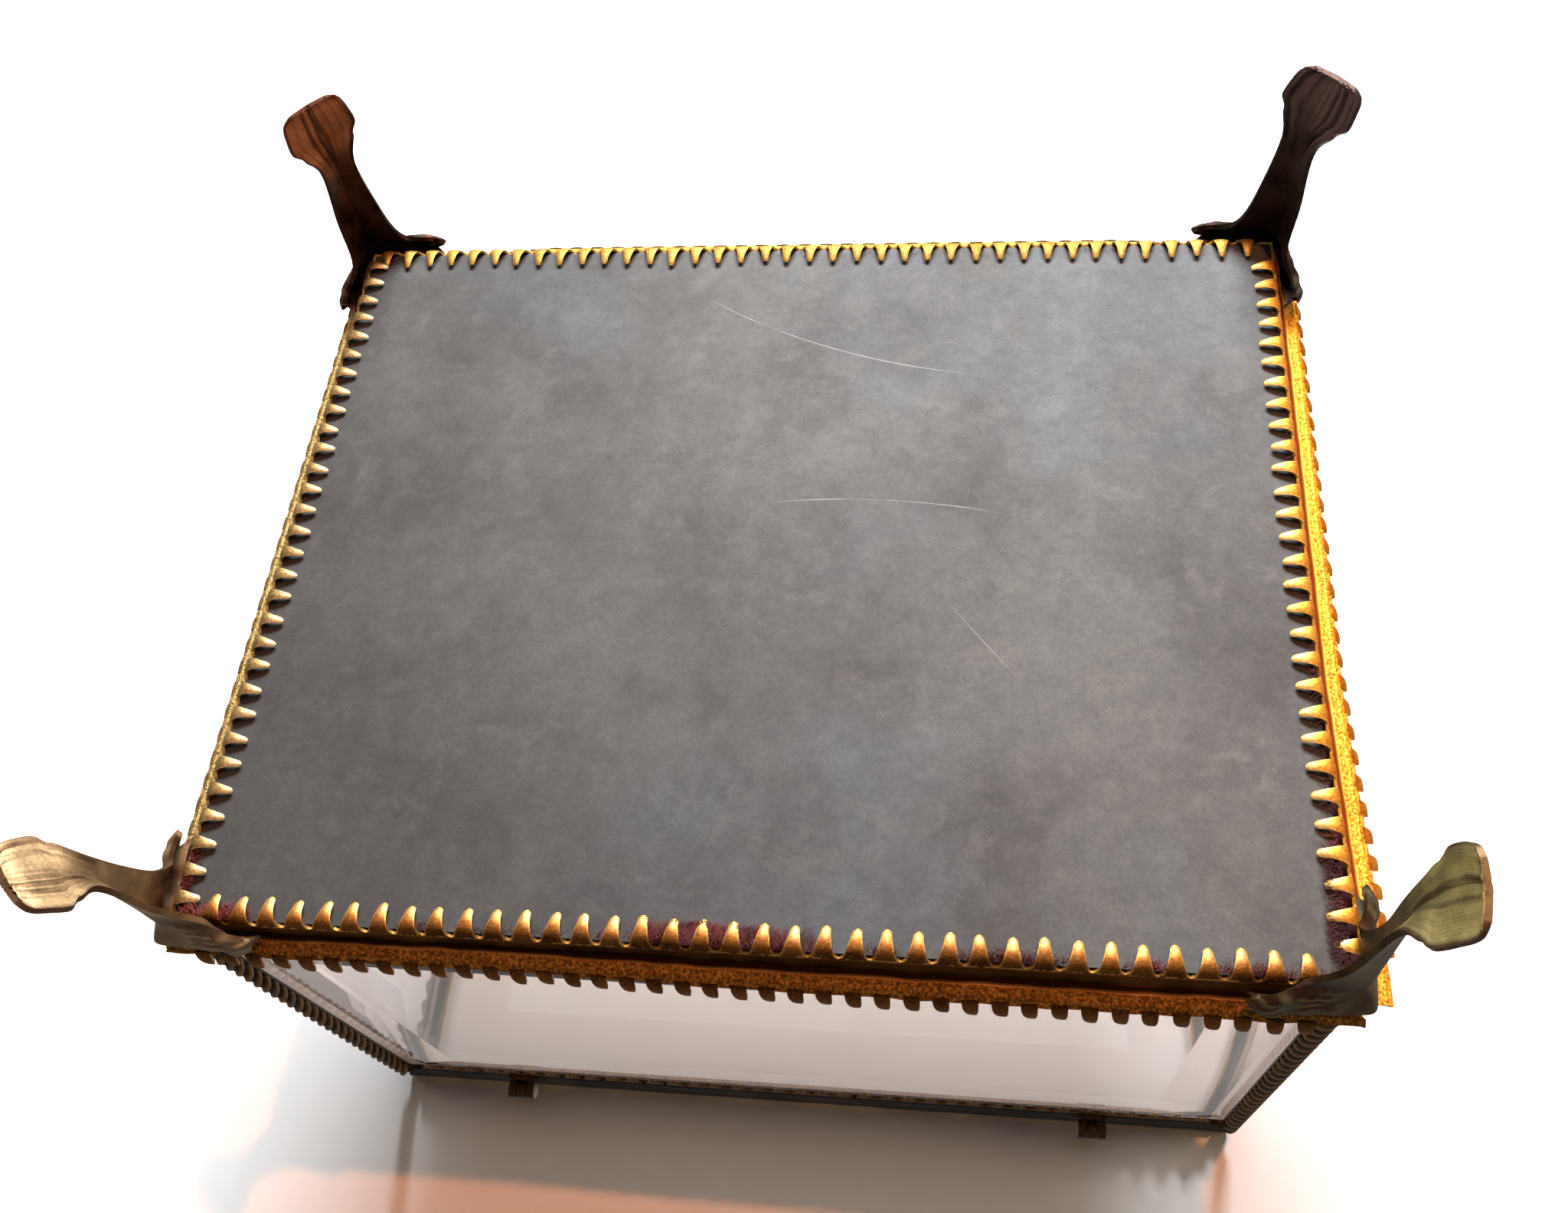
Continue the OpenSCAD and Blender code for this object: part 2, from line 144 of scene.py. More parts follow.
def gilt_brass(name, clean_and_lit, warm, grime_and_shade, band, fleck, rough=0.5):
    """Stamped sheet brass with worn gilding. Tips and edges stay pale and bright, partly rubbed wear and partly painted
    highlight; the metal goes warmer and then brown toward the coves and claw roots, partly grime and partly painted
    shade; and the die leaves a stippled band with dark and bright grains."""
    made, tree = blank_material(name)
    at = add(tree, "ShaderNodeTexCoord").outputs["Object"]
    # Cloudy wear about 5 mm across, and die stipple grains about 0.35 mm across
    cloud = add(tree, "ShaderNodeTexNoise", {"Scale": 1 / (5 * MM), "Detail": 4.0}, {"Vector": at})
    grain = add(tree, "ShaderNodeTexNoise", {"Scale": 1 / (0.35 * MM), "Detail": 3.0}, {"Vector": at})
    dirt_and_shade = add(tree, "ShaderNodeAttribute", attribute_name="grime_and_shade").outputs["Fac"]
    stippled = add(tree, "ShaderNodeAttribute", attribute_name="stipple").outputs["Fac"]
    drift = add(tree, "ShaderNodeMapRange", {"From Min": 0.3, "From Max": 0.7, "To Min": -0.12, "To Max": 0.12}, {"Value": cloud.outputs["Fac"]})
    cover = add(tree, "ShaderNodeMath", {}, {0: dirt_and_shade, 1: drift.outputs["Result"]}, operation="ADD", use_clamp=True)
    early = add(tree, "ShaderNodeMapRange", {"From Max": 0.45}, {"Value": cover.outputs[0]})
    late = add(tree, "ShaderNodeMapRange", {"From Min": 0.4}, {"Value": cover.outputs[0]})
    gold = add(tree, "ShaderNodeMix", {6: clean_and_lit, 7: warm}, {0: early.outputs["Result"]}, data_type="RGBA")
    brown = add(tree, "ShaderNodeMix", {7: grime_and_shade}, {0: late.outputs["Result"], 6: gold.outputs[2]}, data_type="RGBA")
    pits = add(tree, "ShaderNodeMapRange", {"From Min": 0.5, "From Max": 0.64, "To Max": 0.7}, {"Value": grain.outputs["Fac"]})
    peaks = add(tree, "ShaderNodeMapRange", {"From Min": 0.47, "From Max": 0.36, "To Max": 0.7}, {"Value": grain.outputs["Fac"]})
    pitted = add(tree, "ShaderNodeMix", {6: band, 7: grime_and_shade}, {0: pits.outputs["Result"]}, data_type="RGBA")
    flecked = add(tree, "ShaderNodeMix", {7: fleck}, {0: peaks.outputs["Result"], 6: pitted.outputs[2]}, data_type="RGBA")
    colour = add(tree, "ShaderNodeMix", None, {0: stippled, 6: brown.outputs[2], 7: flecked.outputs[2]}, data_type="RGBA")
    dull = add(tree, "ShaderNodeMapRange", {"To Min": rough, "To Max": rough + 0.3}, {"Value": cover.outputs[0]})
    relief = add(tree, "ShaderNodeMath", {}, {0: grain.outputs["Fac"], 1: stippled}, operation="MULTIPLY")
    bump = add(tree, "ShaderNodeBump", {"Strength": 1.0, "Distance": 0.2 * MM}, {"Height": relief.outputs[0]})
    shader = add(
        tree, "ShaderNodeBsdfPrincipled", {"Metallic": 1.0},
        {"Base Color": colour.outputs[2], "Roughness": dull.outputs["Result"], "Normal": bump.outputs["Normal"]},
    )
    add(tree, "ShaderNodeOutputMaterial", links={"Surface": shader.outputs[0]})
    return made


def toned_brass(name, ridge, groove, rim, rough=0.38):
    """Old stamped brass toned brown by age: rubbed ridges, dark grooves, a purple-brown bloom along the cut edges and a
    little green corrosion near the solder. On the feet the colours given also carry painted light and shade."""
    made, tree = blank_material(name)
    at = add(tree, "ShaderNodeTexCoord").outputs["Object"]
    cloud = add(tree, "ShaderNodeTexNoise", {"Scale": 1 / (3 * MM), "Detail": 5.0}, {"Vector": at})
    pit = add(tree, "ShaderNodeTexNoise", {"Scale": 1 / (0.5 * MM), "Detail": 3.0}, {"Vector": at})
    vein = add(tree, "ShaderNodeAttribute", attribute_name="vein").outputs["Fac"]
    edge = add(tree, "ShaderNodeAttribute", attribute_name="edge").outputs["Fac"]
    green = add(tree, "ShaderNodeAttribute", attribute_name="verdigris").outputs["Fac"]
    shift = add(tree, "ShaderNodeMath", {1: -0.5}, {0: cloud.outputs["Fac"]}, operation="ADD")
    height = add(tree, "ShaderNodeMath", {}, {0: vein, 1: shift.outputs[0]}, operation="ADD", use_clamp=True)
    metal = add(
        tree, "ShaderNodeMix", {6: groove, 7: ridge},
        {0: height.outputs[0]}, data_type="RGBA",
    )
    bloomed = add(
        tree, "ShaderNodeMix", {7: rim},
        {0: edge, 6: metal.outputs[2]}, data_type="RGBA",
    )
    patch = add(tree, "ShaderNodeMapRange", {"From Min": 0.5, "From Max": 0.62}, {"Value": cloud.outputs["Fac"]})
    crust = add(tree, "ShaderNodeMath", {}, {0: patch.outputs["Result"], 1: green}, operation="MULTIPLY")
    colour = add(
        tree, "ShaderNodeMix", {7: linear("#7FA08A")},
        {0: crust.outputs[0], 6: bloomed.outputs[2]}, data_type="RGBA",
    )
    metallic = add(tree, "ShaderNodeMapRange", {"To Min": 1.0, "To Max": 0.0}, {"Value": crust.outputs[0]})
    dull = add(
        tree, "ShaderNodeMapRange", {"To Min": rough, "To Max": rough + 0.25}, {"Value": cloud.outputs["Fac"]}
    )
    bump = add(tree, "ShaderNodeBump", {"Strength": 0.5, "Distance": 0.08 * MM}, {"Height": pit.outputs["Fac"]})
    shader = add(
        tree, "ShaderNodeBsdfPrincipled", None,
        {
            "Base Color": colour.outputs[2], "Metallic": metallic.outputs["Result"],
            "Roughness": dull.outputs["Result"], "Normal": bump.outputs["Normal"],
        },
    )
    add(tree, "ShaderNodeOutputMaterial", links={"Surface": shader.outputs[0]})
    return made


def zinc_sheet(name, grey, pale, dark, bloom):
    """Rolled zinc gone dull: grey oxide in brownish and bluish clouds, mottled all over, pale handling marks and a few
    long scratches, and painted shade that darkens it toward the rear left corner."""
    made, tree = blank_material(name)
    at = add(tree, "ShaderNodeTexCoord").outputs["Object"]

    grains = []
    for size, detail, roughness, distortion in (
        (30, 8, 0.66, 0.0), (44, 5, 0.6, 0.0), (8, 7, 0.7, 0.5), (2.2, 6, 0.75, 0.0), (0.4, 3, 0.7, 0.0),
    ):
        settings = {"Scale": 1 / (size * MM), "Detail": detail, "Roughness": roughness, "Distortion": distortion}
        grains.append(add(tree, "ShaderNodeTexNoise", settings, {"Vector": at}).outputs["Fac"])
    cloud, haze, smudge, mottle, speck = grains
    darker = add(tree, "ShaderNodeMapRange", {"From Min": 0.42, "From Max": 0.62, "To Max": 0.8}, {"Value": cloud})
    bluer = add(tree, "ShaderNodeMapRange", {"From Min": 0.5, "From Max": 0.66, "To Max": 0.7}, {"Value": haze})
    paler = add(tree, "ShaderNodeMapRange", {"From Min": 0.52, "From Max": 0.74, "To Max": 0.55}, {"Value": smudge})
    colour = add(tree, "ShaderNodeMix", {6: grey, 7: dark}, {0: darker.outputs["Result"]}, data_type="RGBA").outputs[2]
    for tone, share in ((bloom, bluer), (pale, paler)):
        colour = add(
            tree, "ShaderNodeMix", {7: tone}, {0: share.outputs["Result"], 6: colour}, data_type="RGBA"
        ).outputs[2]
    for grain, spread in ((mottle, 0.22), (speck, 0.16)):
        tone = add(
            tree, "ShaderNodeMapRange",
            {"From Min": 0.3, "From Max": 0.7, "To Min": 1 - spread, "To Max": 1 + spread}, {"Value": grain},
        )
        colour = add(
            tree, "ShaderNodeVectorMath", {}, {0: colour, 1: tone.outputs["Result"]}, operation="MULTIPLY"
        ).outputs[0]
    # Painted shade: darker toward the rear left corner, standing in for the light falling off across the plate
    across = add(tree, "ShaderNodeVectorMath", {1: (0.8, -0.6, 0.0)}, {0: at}, operation="DOT_PRODUCT")
    painted_falloff_shade = add(
        tree, "ShaderNodeMapRange", {"From Min": -75 * MM, "From Max": 30 * MM, "To Min": 0.5, "To Max": 1.0},
        {"Value": across.outputs["Value"]},
    )
    colour = add(
        tree, "ShaderNodeVectorMath", {}, {0: colour, 1: painted_falloff_shade.outputs["Result"]}, operation="MULTIPLY"
    ).outputs[0]
    # Long scratches: thin rings around far points, broken up by the smudges
    broken = add(tree, "ShaderNodeMapRange", {"From Min": 0.4, "From Max": 0.56, "To Min": 0.15}, {"Value": smudge})
    for centre, radius, reach in SCRATCHES:
        gap = add(tree, "ShaderNodeVectorMath", {1: centre}, {0: at}, operation="DISTANCE")
        off = add(tree, "ShaderNodeMath", {1: -radius}, {0: gap.outputs["Value"]}, operation="ADD")
        near = add(tree, "ShaderNodeMath", {}, {0: off.outputs[0]}, operation="ABSOLUTE")
        mark = add(
            tree, "ShaderNodeMapRange", {"From Max": 0.09 * MM, "To Min": 0.55, "To Max": 0.0},
            {"Value": near.outputs[0]},
        )
        away = add(tree, "ShaderNodeVectorMath", {1: reach[0]}, {0: at}, operation="DISTANCE")
        here = add(
            tree, "ShaderNodeMapRange",
            {"From Min": reach[1] * 0.6, "From Max": reach[1], "To Min": 1.0, "To Max": 0.0},
            {"Value": away.outputs["Value"]},
        )
        seen = add(tree, "ShaderNodeMath", {}, {0: mark.outputs["Result"], 1: here.outputs["Result"]}, operation="MULTIPLY")
        worn = add(tree, "ShaderNodeMath", {}, {0: seen.outputs[0], 1: broken.outputs["Result"]}, operation="MULTIPLY")
        colour = add(
            tree, "ShaderNodeMix", {7: linear("#B9B7B4")}, {0: worn.outputs[0], 6: colour}, data_type="RGBA"
        ).outputs[2]
    dull = add(tree, "ShaderNodeMapRange", {"To Min": 0.58, "To Max": 0.85}, {"Value": smudge})
    mixed = add(tree, "ShaderNodeMath", {}, {0: mottle, 1: speck}, operation="ADD")
    bump = add(tree, "ShaderNodeBump", {"Strength": 0.3, "Distance": 0.04 * MM}, {"Height": mixed.outputs[0]})
    shader = add(
        tree, "ShaderNodeBsdfPrincipled", {"Metallic": 0.3},
        {"Base Color": colour, "Roughness": dull.outputs["Result"], "Normal": bump.outputs["Normal"]},
    )
    add(tree, "ShaderNodeOutputMaterial", links={"Surface": shader.outputs[0]})
    return made


# Long scratches on the plate: centre of the arc, its radius, and where along it shows
SCRATCHES = (
    ((0.036, -0.118, 0.0255), 0.090, ((0.006, -0.034, 0.0255), 0.022)),
    ((-0.190, 0.110, 0.0255), 0.150, ((-0.052, 0.036, 0.0255), 0.005)),
    ((0.010, 0.090, 0.0255), 0.098, ((0.014, -0.008, 0.0255), 0.016)),
    ((0.150, -0.090, 0.0255), 0.160, ((0.020, 0.018, 0.0255), 0.012)),
)


def plate_glass(name, tint):
    """Polished plate glass: clear, with a faint pink tint that is partly painted shade of what is seen through it, and
    smears too thin to see except where the surface is caught at a slant."""
    made, tree = blank_material(name)
    at = add(tree, "ShaderNodeTexCoord").outputs["Object"]
    smear = add(tree, "ShaderNodeTexNoise", {"Scale": 1 / (16 * MM), "Detail": 3.0}, {"Vector": at})
    dull = add(
        tree, "ShaderNodeMapRange", {"From Min": 0.45, "From Max": 0.8, "To Min": 0.0, "To Max": 0.06},
        {"Value": smear.outputs["Fac"]},
    )
    shader = add(
        tree, "ShaderNodeBsdfPrincipled",
        {"Base Color": tint, "IOR": 1.5, "Transmission Weight": 1.0},
        {"Roughness": dull.outputs["Result"]},
    )
    add(tree, "ShaderNodeOutputMaterial", links={"Surface": shader.outputs[0]})
    return made


def frosted_glass(name, tint):
    """The panes' sawn edges: the same glass left matt by the grinding, so that they look
    pale and cloudy."""
    made, tree = blank_material(name)
    shader = add(
        tree, "ShaderNodeBsdfPrincipled", {"Base Color": tint, "IOR": 1.5, "Roughness": 0.7, "Transmission Weight": 0.7}
    )
    add(tree, "ShaderNodeOutputMaterial", links={"Surface": shader.outputs[0]})
    return made


def cotton_velvet(name, pile, shade, sheen=0.3):
    """Cut-pile cotton velvet: deep red, almost black where the pile faces the eye and
    lighter at a slant, with the nap lying in soft patches."""
    made, tree = blank_material(name)
    at = add(tree, "ShaderNodeTexCoord").outputs["Object"]
    nap = add(tree, "ShaderNodeTexNoise", {"Scale": 1 / (14 * MM), "Detail": 3.0}, {"Vector": at})
    tuft = add(tree, "ShaderNodeTexNoise", {"Scale": 1 / (0.5 * MM), "Detail": 2.0}, {"Vector": at})
    brushed = add(tree, "ShaderNodeMapRange", {"From Min": 0.38, "From Max": 0.62}, {"Value": nap.outputs["Fac"]})
    colour = add(
        tree, "ShaderNodeMix", {6: shade, 7: pile},
        {0: brushed.outputs["Result"]}, data_type="RGBA",
    )
    bump = add(tree, "ShaderNodeBump", {"Strength": 0.6, "Distance": 0.2 * MM}, {"Height": tuft.outputs["Fac"]})
    shader = add(
        tree, "ShaderNodeBsdfPrincipled",
        {"Roughness": 0.9, "Sheen Weight": sheen, "Sheen Roughness": 0.35, "Sheen Tint": linear("#C85A5E")},
        {"Base Color": colour.outputs[2], "Normal": bump.outputs["Normal"]},
    )
    add(tree, "ShaderNodeOutputMaterial", links={"Surface": shader.outputs[0]})
    return made


# ---------------------------------------------------------------- meshes


def piece(name, points, faces, material, body, masks=None, closed=True, gauge=0.0, corner=38):
    """Makes a mesh object from points in metres, gives it its gauge, masks and finish,
    and lets it ride on its body."""
    mesh = bpy.data.meshes.new(name)
    mesh.from_pydata([tuple(p) for p in points], [], [tuple(f) for f in faces])
    for key, values in (masks or {}).items():
        mesh.attributes.new(key, "FLOAT", "POINT").data.foreach_set("value", list(values))
    work = bmesh.new()
    work.from_mesh(mesh)
    bmesh.ops.remove_doubles(work, verts=work.verts, dist=0.002 * MM)
    bmesh.ops.dissolve_degenerate(work, edges=work.edges, dist=0.001 * MM)
    if closed:
        bmesh.ops.recalc_face_normals(work, faces=work.faces)
    work.to_mesh(mesh)
    work.free()
    made = bpy.data.objects.new(name, mesh)
    bpy.context.scene.collection.objects.link(made)
    if gauge:
        layer = made.modifiers.new("gauge", "SOLIDIFY")
        layer.thickness = gauge
        layer.offset = -1.0
        bpy.context.view_layer.update()
        seen = made.evaluated_get(bpy.context.evaluated_depsgraph_get())
        made.data = bpy.data.meshes.new_from_object(seen)
        made.modifiers.clear()
        made.data.name = name
    # Nothing stands out of the solids' box
    for vertex in made.data.vertices:
        vertex.co = [min(max(c, a), b) for c, a, b in zip(vertex.co, *CAD_BOX)]
    made.data.polygons.foreach_set("use_smooth", [True] * len(made.data.polygons))
    made.data.set_sharp_from_angle(angle=math.radians(corner))
    made.data.materials.clear()
    made.data.materials.append(material)
    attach(made, body)
    return made


def dress(nodes, material):
    """Gives solids that keep their own shape their finish."""
    for node in nodes:
        data = frame["nodes"][node].data
        data.materials.clear()
        data.materials.append(material)


class Sheet:
    """Points, faces and masks of a thin stamped sheet that grows grid by grid."""

    def __init__(self, names):
        self.points, self.faces = [], []
        self.masks = {name: [] for name in names}

    def grid(self, rows, masks, flip=False):
        """Adds rows of points, with masks that have one value a row or one a point."""
        start, width = len(self.points), len(rows[0])
        for row in rows:
            self.points += row
        for name, values in masks.items():
            for value in values:
                self.masks[name] += list(value) if hasattr(value, "__len__") else [value] * width
        for i in range(len(rows) - 1):
            for j in range(width - 1):
                a = start + i * width + j
                ring = (a, a + 1, a + width + 1, a + width)
                self.faces.append(ring if flip else ring[::-1])


def smooth_path(path, parts):
    """Points of a smooth curve through the path, with parts steps between two of them."""
    made, last = [], len(path) - 1
    for i in range(last):
        a, b, c, d = (np.array(path[min(max(i + k, 0), last)], float) for k in (-1, 0, 1, 2))
        for k in range(parts):
            t = k / parts
            made.append(b + 0.5 * t * (c - a + t * (2 * a - 5 * b + 4 * c - d + t * (3 * (b - c) + d - a))))
    made.append(np.array(path[-1], float))
    return made


def path_normals(path):
    """Unit normals (out, up) to the right of a path that runs inward."""
    way = np.gradient(np.array(path), axis=0)
    turned = np.stack([-way[:, 1], way[:, 0]], axis=1)
    return turned / np.linalg.norm(turned, axis=1)[:, None]


def ramp(x, xs, ys):
    """Straight lines through the points (xs, ys), read at x."""
    return float(np.interp(x, xs, ys))


def claw_half(s, length, half_pitch, half_tip, notch):
    """Half width of a claw at s from the bottom of the gaps beside it: a round notch,
    a straight flank and a round tip."""
    if s < notch:
        gap = notch * math.sqrt(max(0.0, 1 - (1 - s / notch) ** 2))
    else:
        rest = (1 - (s - notch) / (length - notch)) ** 1.7
        gap = notch + (half_pitch - half_tip - notch) * (1 - rest)
    left = (length - s) / (half_tip * 0.8)
    tip = math.sqrt(max(0.0, 1 - (1 - left) ** 2)) * 0.36 + 0.64 if left < 1 else 1.0
    return (half_pitch - gap) * tip


CLAW_STEPS = 6   # grid steps across half a claw


class Strip:
    """One side's stamped strip, drawn in millimetres along, out from and up the side."""

    def __init__(self, side, level, mirror=1, pull=None):
        self.origin, self.along, self.out, self.half = SIDES[side]
        self.level, self.mirror = level, mirror
        self.pull = pull or {"claws": ((0, 1), (0, 0)), "band": ((0, 1), (0, 0))}
        self.sheet = Sheet(("grime_and_shade", "stipple"))

    def row(self, points):
        """Points in the row frame from (along, out, up)."""
        up = Vector((0, 0, self.level))
        return [
            self.origin + up + self.along * a * MM + self.out * u * MM + Vector((0, 0, self.mirror * z * MM))
            for a, u, z in points
        ]

    def body(self, path, pitch, phase, limit, grime_and_shade, stipple, wave=0.0, seed=0):
        """The strip's length: path swept between the mitres, as (out, up) pairs."""
        half, step = self.half / MM, pitch / (2 * CLAW_STEPS)
        count = int(half / step) + 14
        luck = random.Random(seed)
        beats = [(luck.uniform(4, 22), luck.uniform(0, 6.3), luck.uniform(0.3, 1)) for _ in range(7)]
        cols = [phase + k * step for k in range(-count, count + 1) if abs(phase + k * step) < half + pitch]
        drift = [sum(w * math.sin(c * 6.283 / l + p) for l, p, w in beats) * wave for c in cols]
        rows, n = [], len(path) - 1
        for i, (u, z) in enumerate(path):
            stop = limit(u)
            share = min(1.0, i / n * 1.5)
            rows.append(self.row([
                (
                    min(max(c, -stop), stop),
                    u + d * share + ramp(c, *self.pull["claws"]) + ramp(c, *self.pull["band"]) * share,
                    z + 0.4 * d * share,
                )
                for c, d in zip(cols, drift)
            ]))
        masks = {
            "grime_and_shade": [ramp(i / n, *grime_and_shade) for i in range(n + 1)],
            "stipple": [ramp(i / n, *stipple) for i in range(n + 1)],
        }
        self.sheet.grid(rows, masks, flip=self.mirror < 0)

    def claws(self, path, pitch, phase, margin, seed, half_tip=0.54, dome=0.24, wander=0.05, notch=0.42, slant=0.0):
        """A row of claws along the body's first edge."""
        luck = random.Random(seed)
        normals = path_normals(path)
        lengths = np.concatenate([[0], np.cumsum(np.linalg.norm(np.diff(path, axis=0), axis=1))])
        total = lengths[-1]
        count = int(self.half / MM / pitch) + 1
        for k in range(-count, count + 1):
            middle = phase + k * pitch
            if abs(middle) > self.half / MM - margin:
                continue
            tilt, lift = luck.gauss(slant, wander * 2), luck.gauss(0, wander)
            reach = 1 + luck.gauss(-0.01, wander * 0.6)
            worn = luck.uniform(0.85, 1.2)
            rows, dirt_and_shade = [], []
            for s, (u, z), (nu, nz) in zip(lengths, path, normals):
                share = s / total
                width = claw_half(s, total, pitch / 2, half_tip, notch)
                rise = math.sin(min(1.0, share * 2.2) * math.pi / 2) * (1 - 0.45 * share)
                line, dark = [], []
                for j in range(-CLAW_STEPS, CLAW_STEPS + 1):
                    q = j / CLAW_STEPS
                    bulge = dome * (1 - q * q) * rise
                    off = u - path[0][0]
                    line.append((
                        middle + width * q + tilt * share,
                        path[0][0] + off * reach + nu * bulge + ramp(middle + width * q, *self.pull["claws"]),
                        z + nz * bulge + lift * share,
                    ))
                    # Painted highlight: the claw's edges, most near its root at the gap bottoms, are kept pale. Along
                    # its length it runs dark at the root to pale at the tip, part grime and rubbed wear, part painted
                    # shade and highlight.
                    rim = abs(q) ** 10 * ramp(share, (0, 0.05, 0.3), (1.2, 1.2, 0.5))
                    dark.append(max(0.0, ramp(share, (0, 0.2, 0.5, 0.85), (1.0, 0.85, 0.5, 0.06)) * worn - rim))
                rows.append(self.row(line))
                dirt_and_shade.append(dark)
            self.sheet.grid(rows, {"grime_and_shade": dirt_and_shade, "stipple": [0.3] * len(rows)}, flip=self.mirror > 0)

    def hooks(self, start, pitch, phase, margin, seed, length, lean, wide=1.85):
        """A row of hooked tongues that leaves the lip at (out, up)."""
        luck = random.Random(seed)
        count, parts = int(self.half / MM / pitch) + 2, 8
        u0, z0 = start
        for k in range(-count, count + 1):
            middle = phase + k * pitch
            if abs(middle) > self.half / MM - margin:
                continue
            turn = math.radians(lean(middle) + luck.gauss(0, 1.5))
            reach = length(middle) * (1 + luck.gauss(0, 0.03))
            shift = luck.gauss(0, 0.04)
            pulled = ramp(middle, *self.pull["claws"]) + ramp(middle, *self.pull["band"])
            rows = []
            for i in range(-1, parts + 1):
                f = i / parts
                pull = 0.5 * (1 - math.sqrt(1 - min(1.0, max(0.0, f) ** 2 * 0.99)))
                trim = 0.12 * max(0.0, f) ** 5
                low, high = pull + 0.05 * max(0.0, f), 1 - trim
                bend = turn + 0.25 * (0.5 - f)
                line = []
                for j in range(7):
                    q = j / 6
                    puff = 0.14 * math.sin(math.pi * q) * math.sin(math.pi * min(1.0, max(0.0, f) + 0.15))
                    line.append((
                        middle + shift + wide * (low + (high - low) * q - 0.5),
                        u0 + pulled + reach * f * math.sin(bend) + puff * math.cos(bend),
                        z0 + reach * f * math.cos(bend) - puff * math.sin(bend),
                    ))
                rows.append(self.row(line))
            n = parts + 2
            self.sheet.grid(
                rows, {"grime_and_shade": [ramp(i / n, (0, 0.3, 1), (1.0, 0.8, 0.6)) for i in range(n)], "stipple": [0.25] * n},
                flip=self.mirror < 0,
            )


# ---------------------------------------------------------------- settings


class CasketSizes(bpy.types.PropertyGroup):
    """Sizes of the casket's visible work"""

    claw_pitch: bpy.props.FloatProperty(
        name="Claw pitch", description="Distance from claw to claw", default=3.4 * MM, unit="LENGTH")
    hook_pitch: bpy.props.FloatProperty(
        name="Hook pitch", description="Distance from hook to hook", default=3.2 * MM, unit="LENGTH")
    sheet_gauge: bpy.props.FloatProperty(
        name="Sheet gauge", description="Thickness of the stamped strips", default=0.35 * MM, unit="LENGTH")
    rope_lay: bpy.props.FloatProperty(
        name="Rope lay", description="Length of one full turn of a corner wire", default=8 * MM, unit="LENGTH")
    vein_height: bpy.props.FloatProperty(
        name="Vein height", description="Height of the leaf veins on the feet", default=0.18 * MM, unit="LENGTH")


class CasketColours(bpy.types.PropertyGroup):
    """Colours of the casket's finishes"""

    gilt: bpy.props.FloatVectorProperty(
        name="Gilding", description="Clean gilding on the lid and rim", subtype="COLOR", size=4,
        default=linear("#C79A45"))
    velvet: bpy.props.FloatVectorProperty(
        name="Velvet", description="Pile of the floor pad", subtype="COLOR", size=4,
        default=linear("#5E101E"))
    paper: bpy.props.FloatVectorProperty(
        name="Paper", description="Floor and backdrop", subtype="COLOR", size=4,
        default=linear("#F2F1EF"))


# ---------------------------------------------------------------- the strips

# The base strip's face from the gaps between the claws to the lip, out and up in mm
COVE = [(0.22, 0.22), (0.36, 0.62), (0.16, 1.05), (0.05, 1.5), (0.16, 2.0), (0.62, 2.42), (1.12, 2.55), (1.34, 2.70)]
BAND = [(1.52, 2.86), (1.95, 2.98), (2.55, 3.14), (2.72, 3.12), (2.95, 3.28), (3.2, 3.42), (3.46, 3.55)]
BASE_CLAW = [(0.22, 0.22), (0.12, -0.35), (-0.35, -0.85), (-1.1, -1.02), (-1.9, -0.9), (-2.55, -0.68), (-3.0, -0.42)]
RIM_FACE = [(0.42, -1.2), (0.5, -0.9), (0.58, -0.3), (0.6, 0.3), (0.45, 0.68), (0.1, 0.8), (-1.5, 0.8), (-4.2, 0.8)]
RIM_CLAW = [(0.42, -1.2), (0.42, -1.7), (0.4, -2.3), (0.36, -2.9), (0.3, -3.2)]
LID_FACE = [(0.3, 0.02), (0.52, 0.25), (0.6, 0.9), (0.5, 1.6), (0.34, 2.3), (0.5, 3.1), (0.6, 3.8), (0.5, 4.45), (0.2, 4.6), (-1.2, 4.6), (-4.6, 4.6)]
LID_CLAW = [(0.3, 0.02), (0.0, 0.0), (-0.6, 0.0), (-1.4, 0.02), (-2.3, 0.05), (-2.95, 0.1)]

# Each side's gilding, lit and shaded copies that paint how the light falls on that side (the right brighter and warmer,
# the rear browner): pale tips, warm metal, grime and shade, stippled band and its bright grains
SIDE_TINTS_LIT_AND_SHADED = {
    "rear": ("#D9AE68", "#8E5A28", "#2A140A", "#7E5220", "#B07C38"),
    "front": ("#CBA860", "#A07C3C", "#20120A", "#C8A048", "#E8C868"),
    "left": ("#B49C74", "#80643E", "#1C120C", "#B0945C", "#D0BC80"),
    "right": ("#EACB80", "#C08838", "#8A3A10", "#E8A838", "#FFD058"),
}


def gilt_for(side):
    """The side's gilding, lit and shaded for that side, made once."""
    name = "Gilt stamped brass, " + side
    found = bpy.data.materials.get(name)
    return found or gilt_brass(name, *[linear(c) for c in SIDE_TINTS_LIT_AND_SHADED[side]])


def shared(name, maker, *colours, **settings):
    """A finish that several pieces share, made once."""
    return bpy.data.materials.get(name) or maker(name, *colours, **settings)


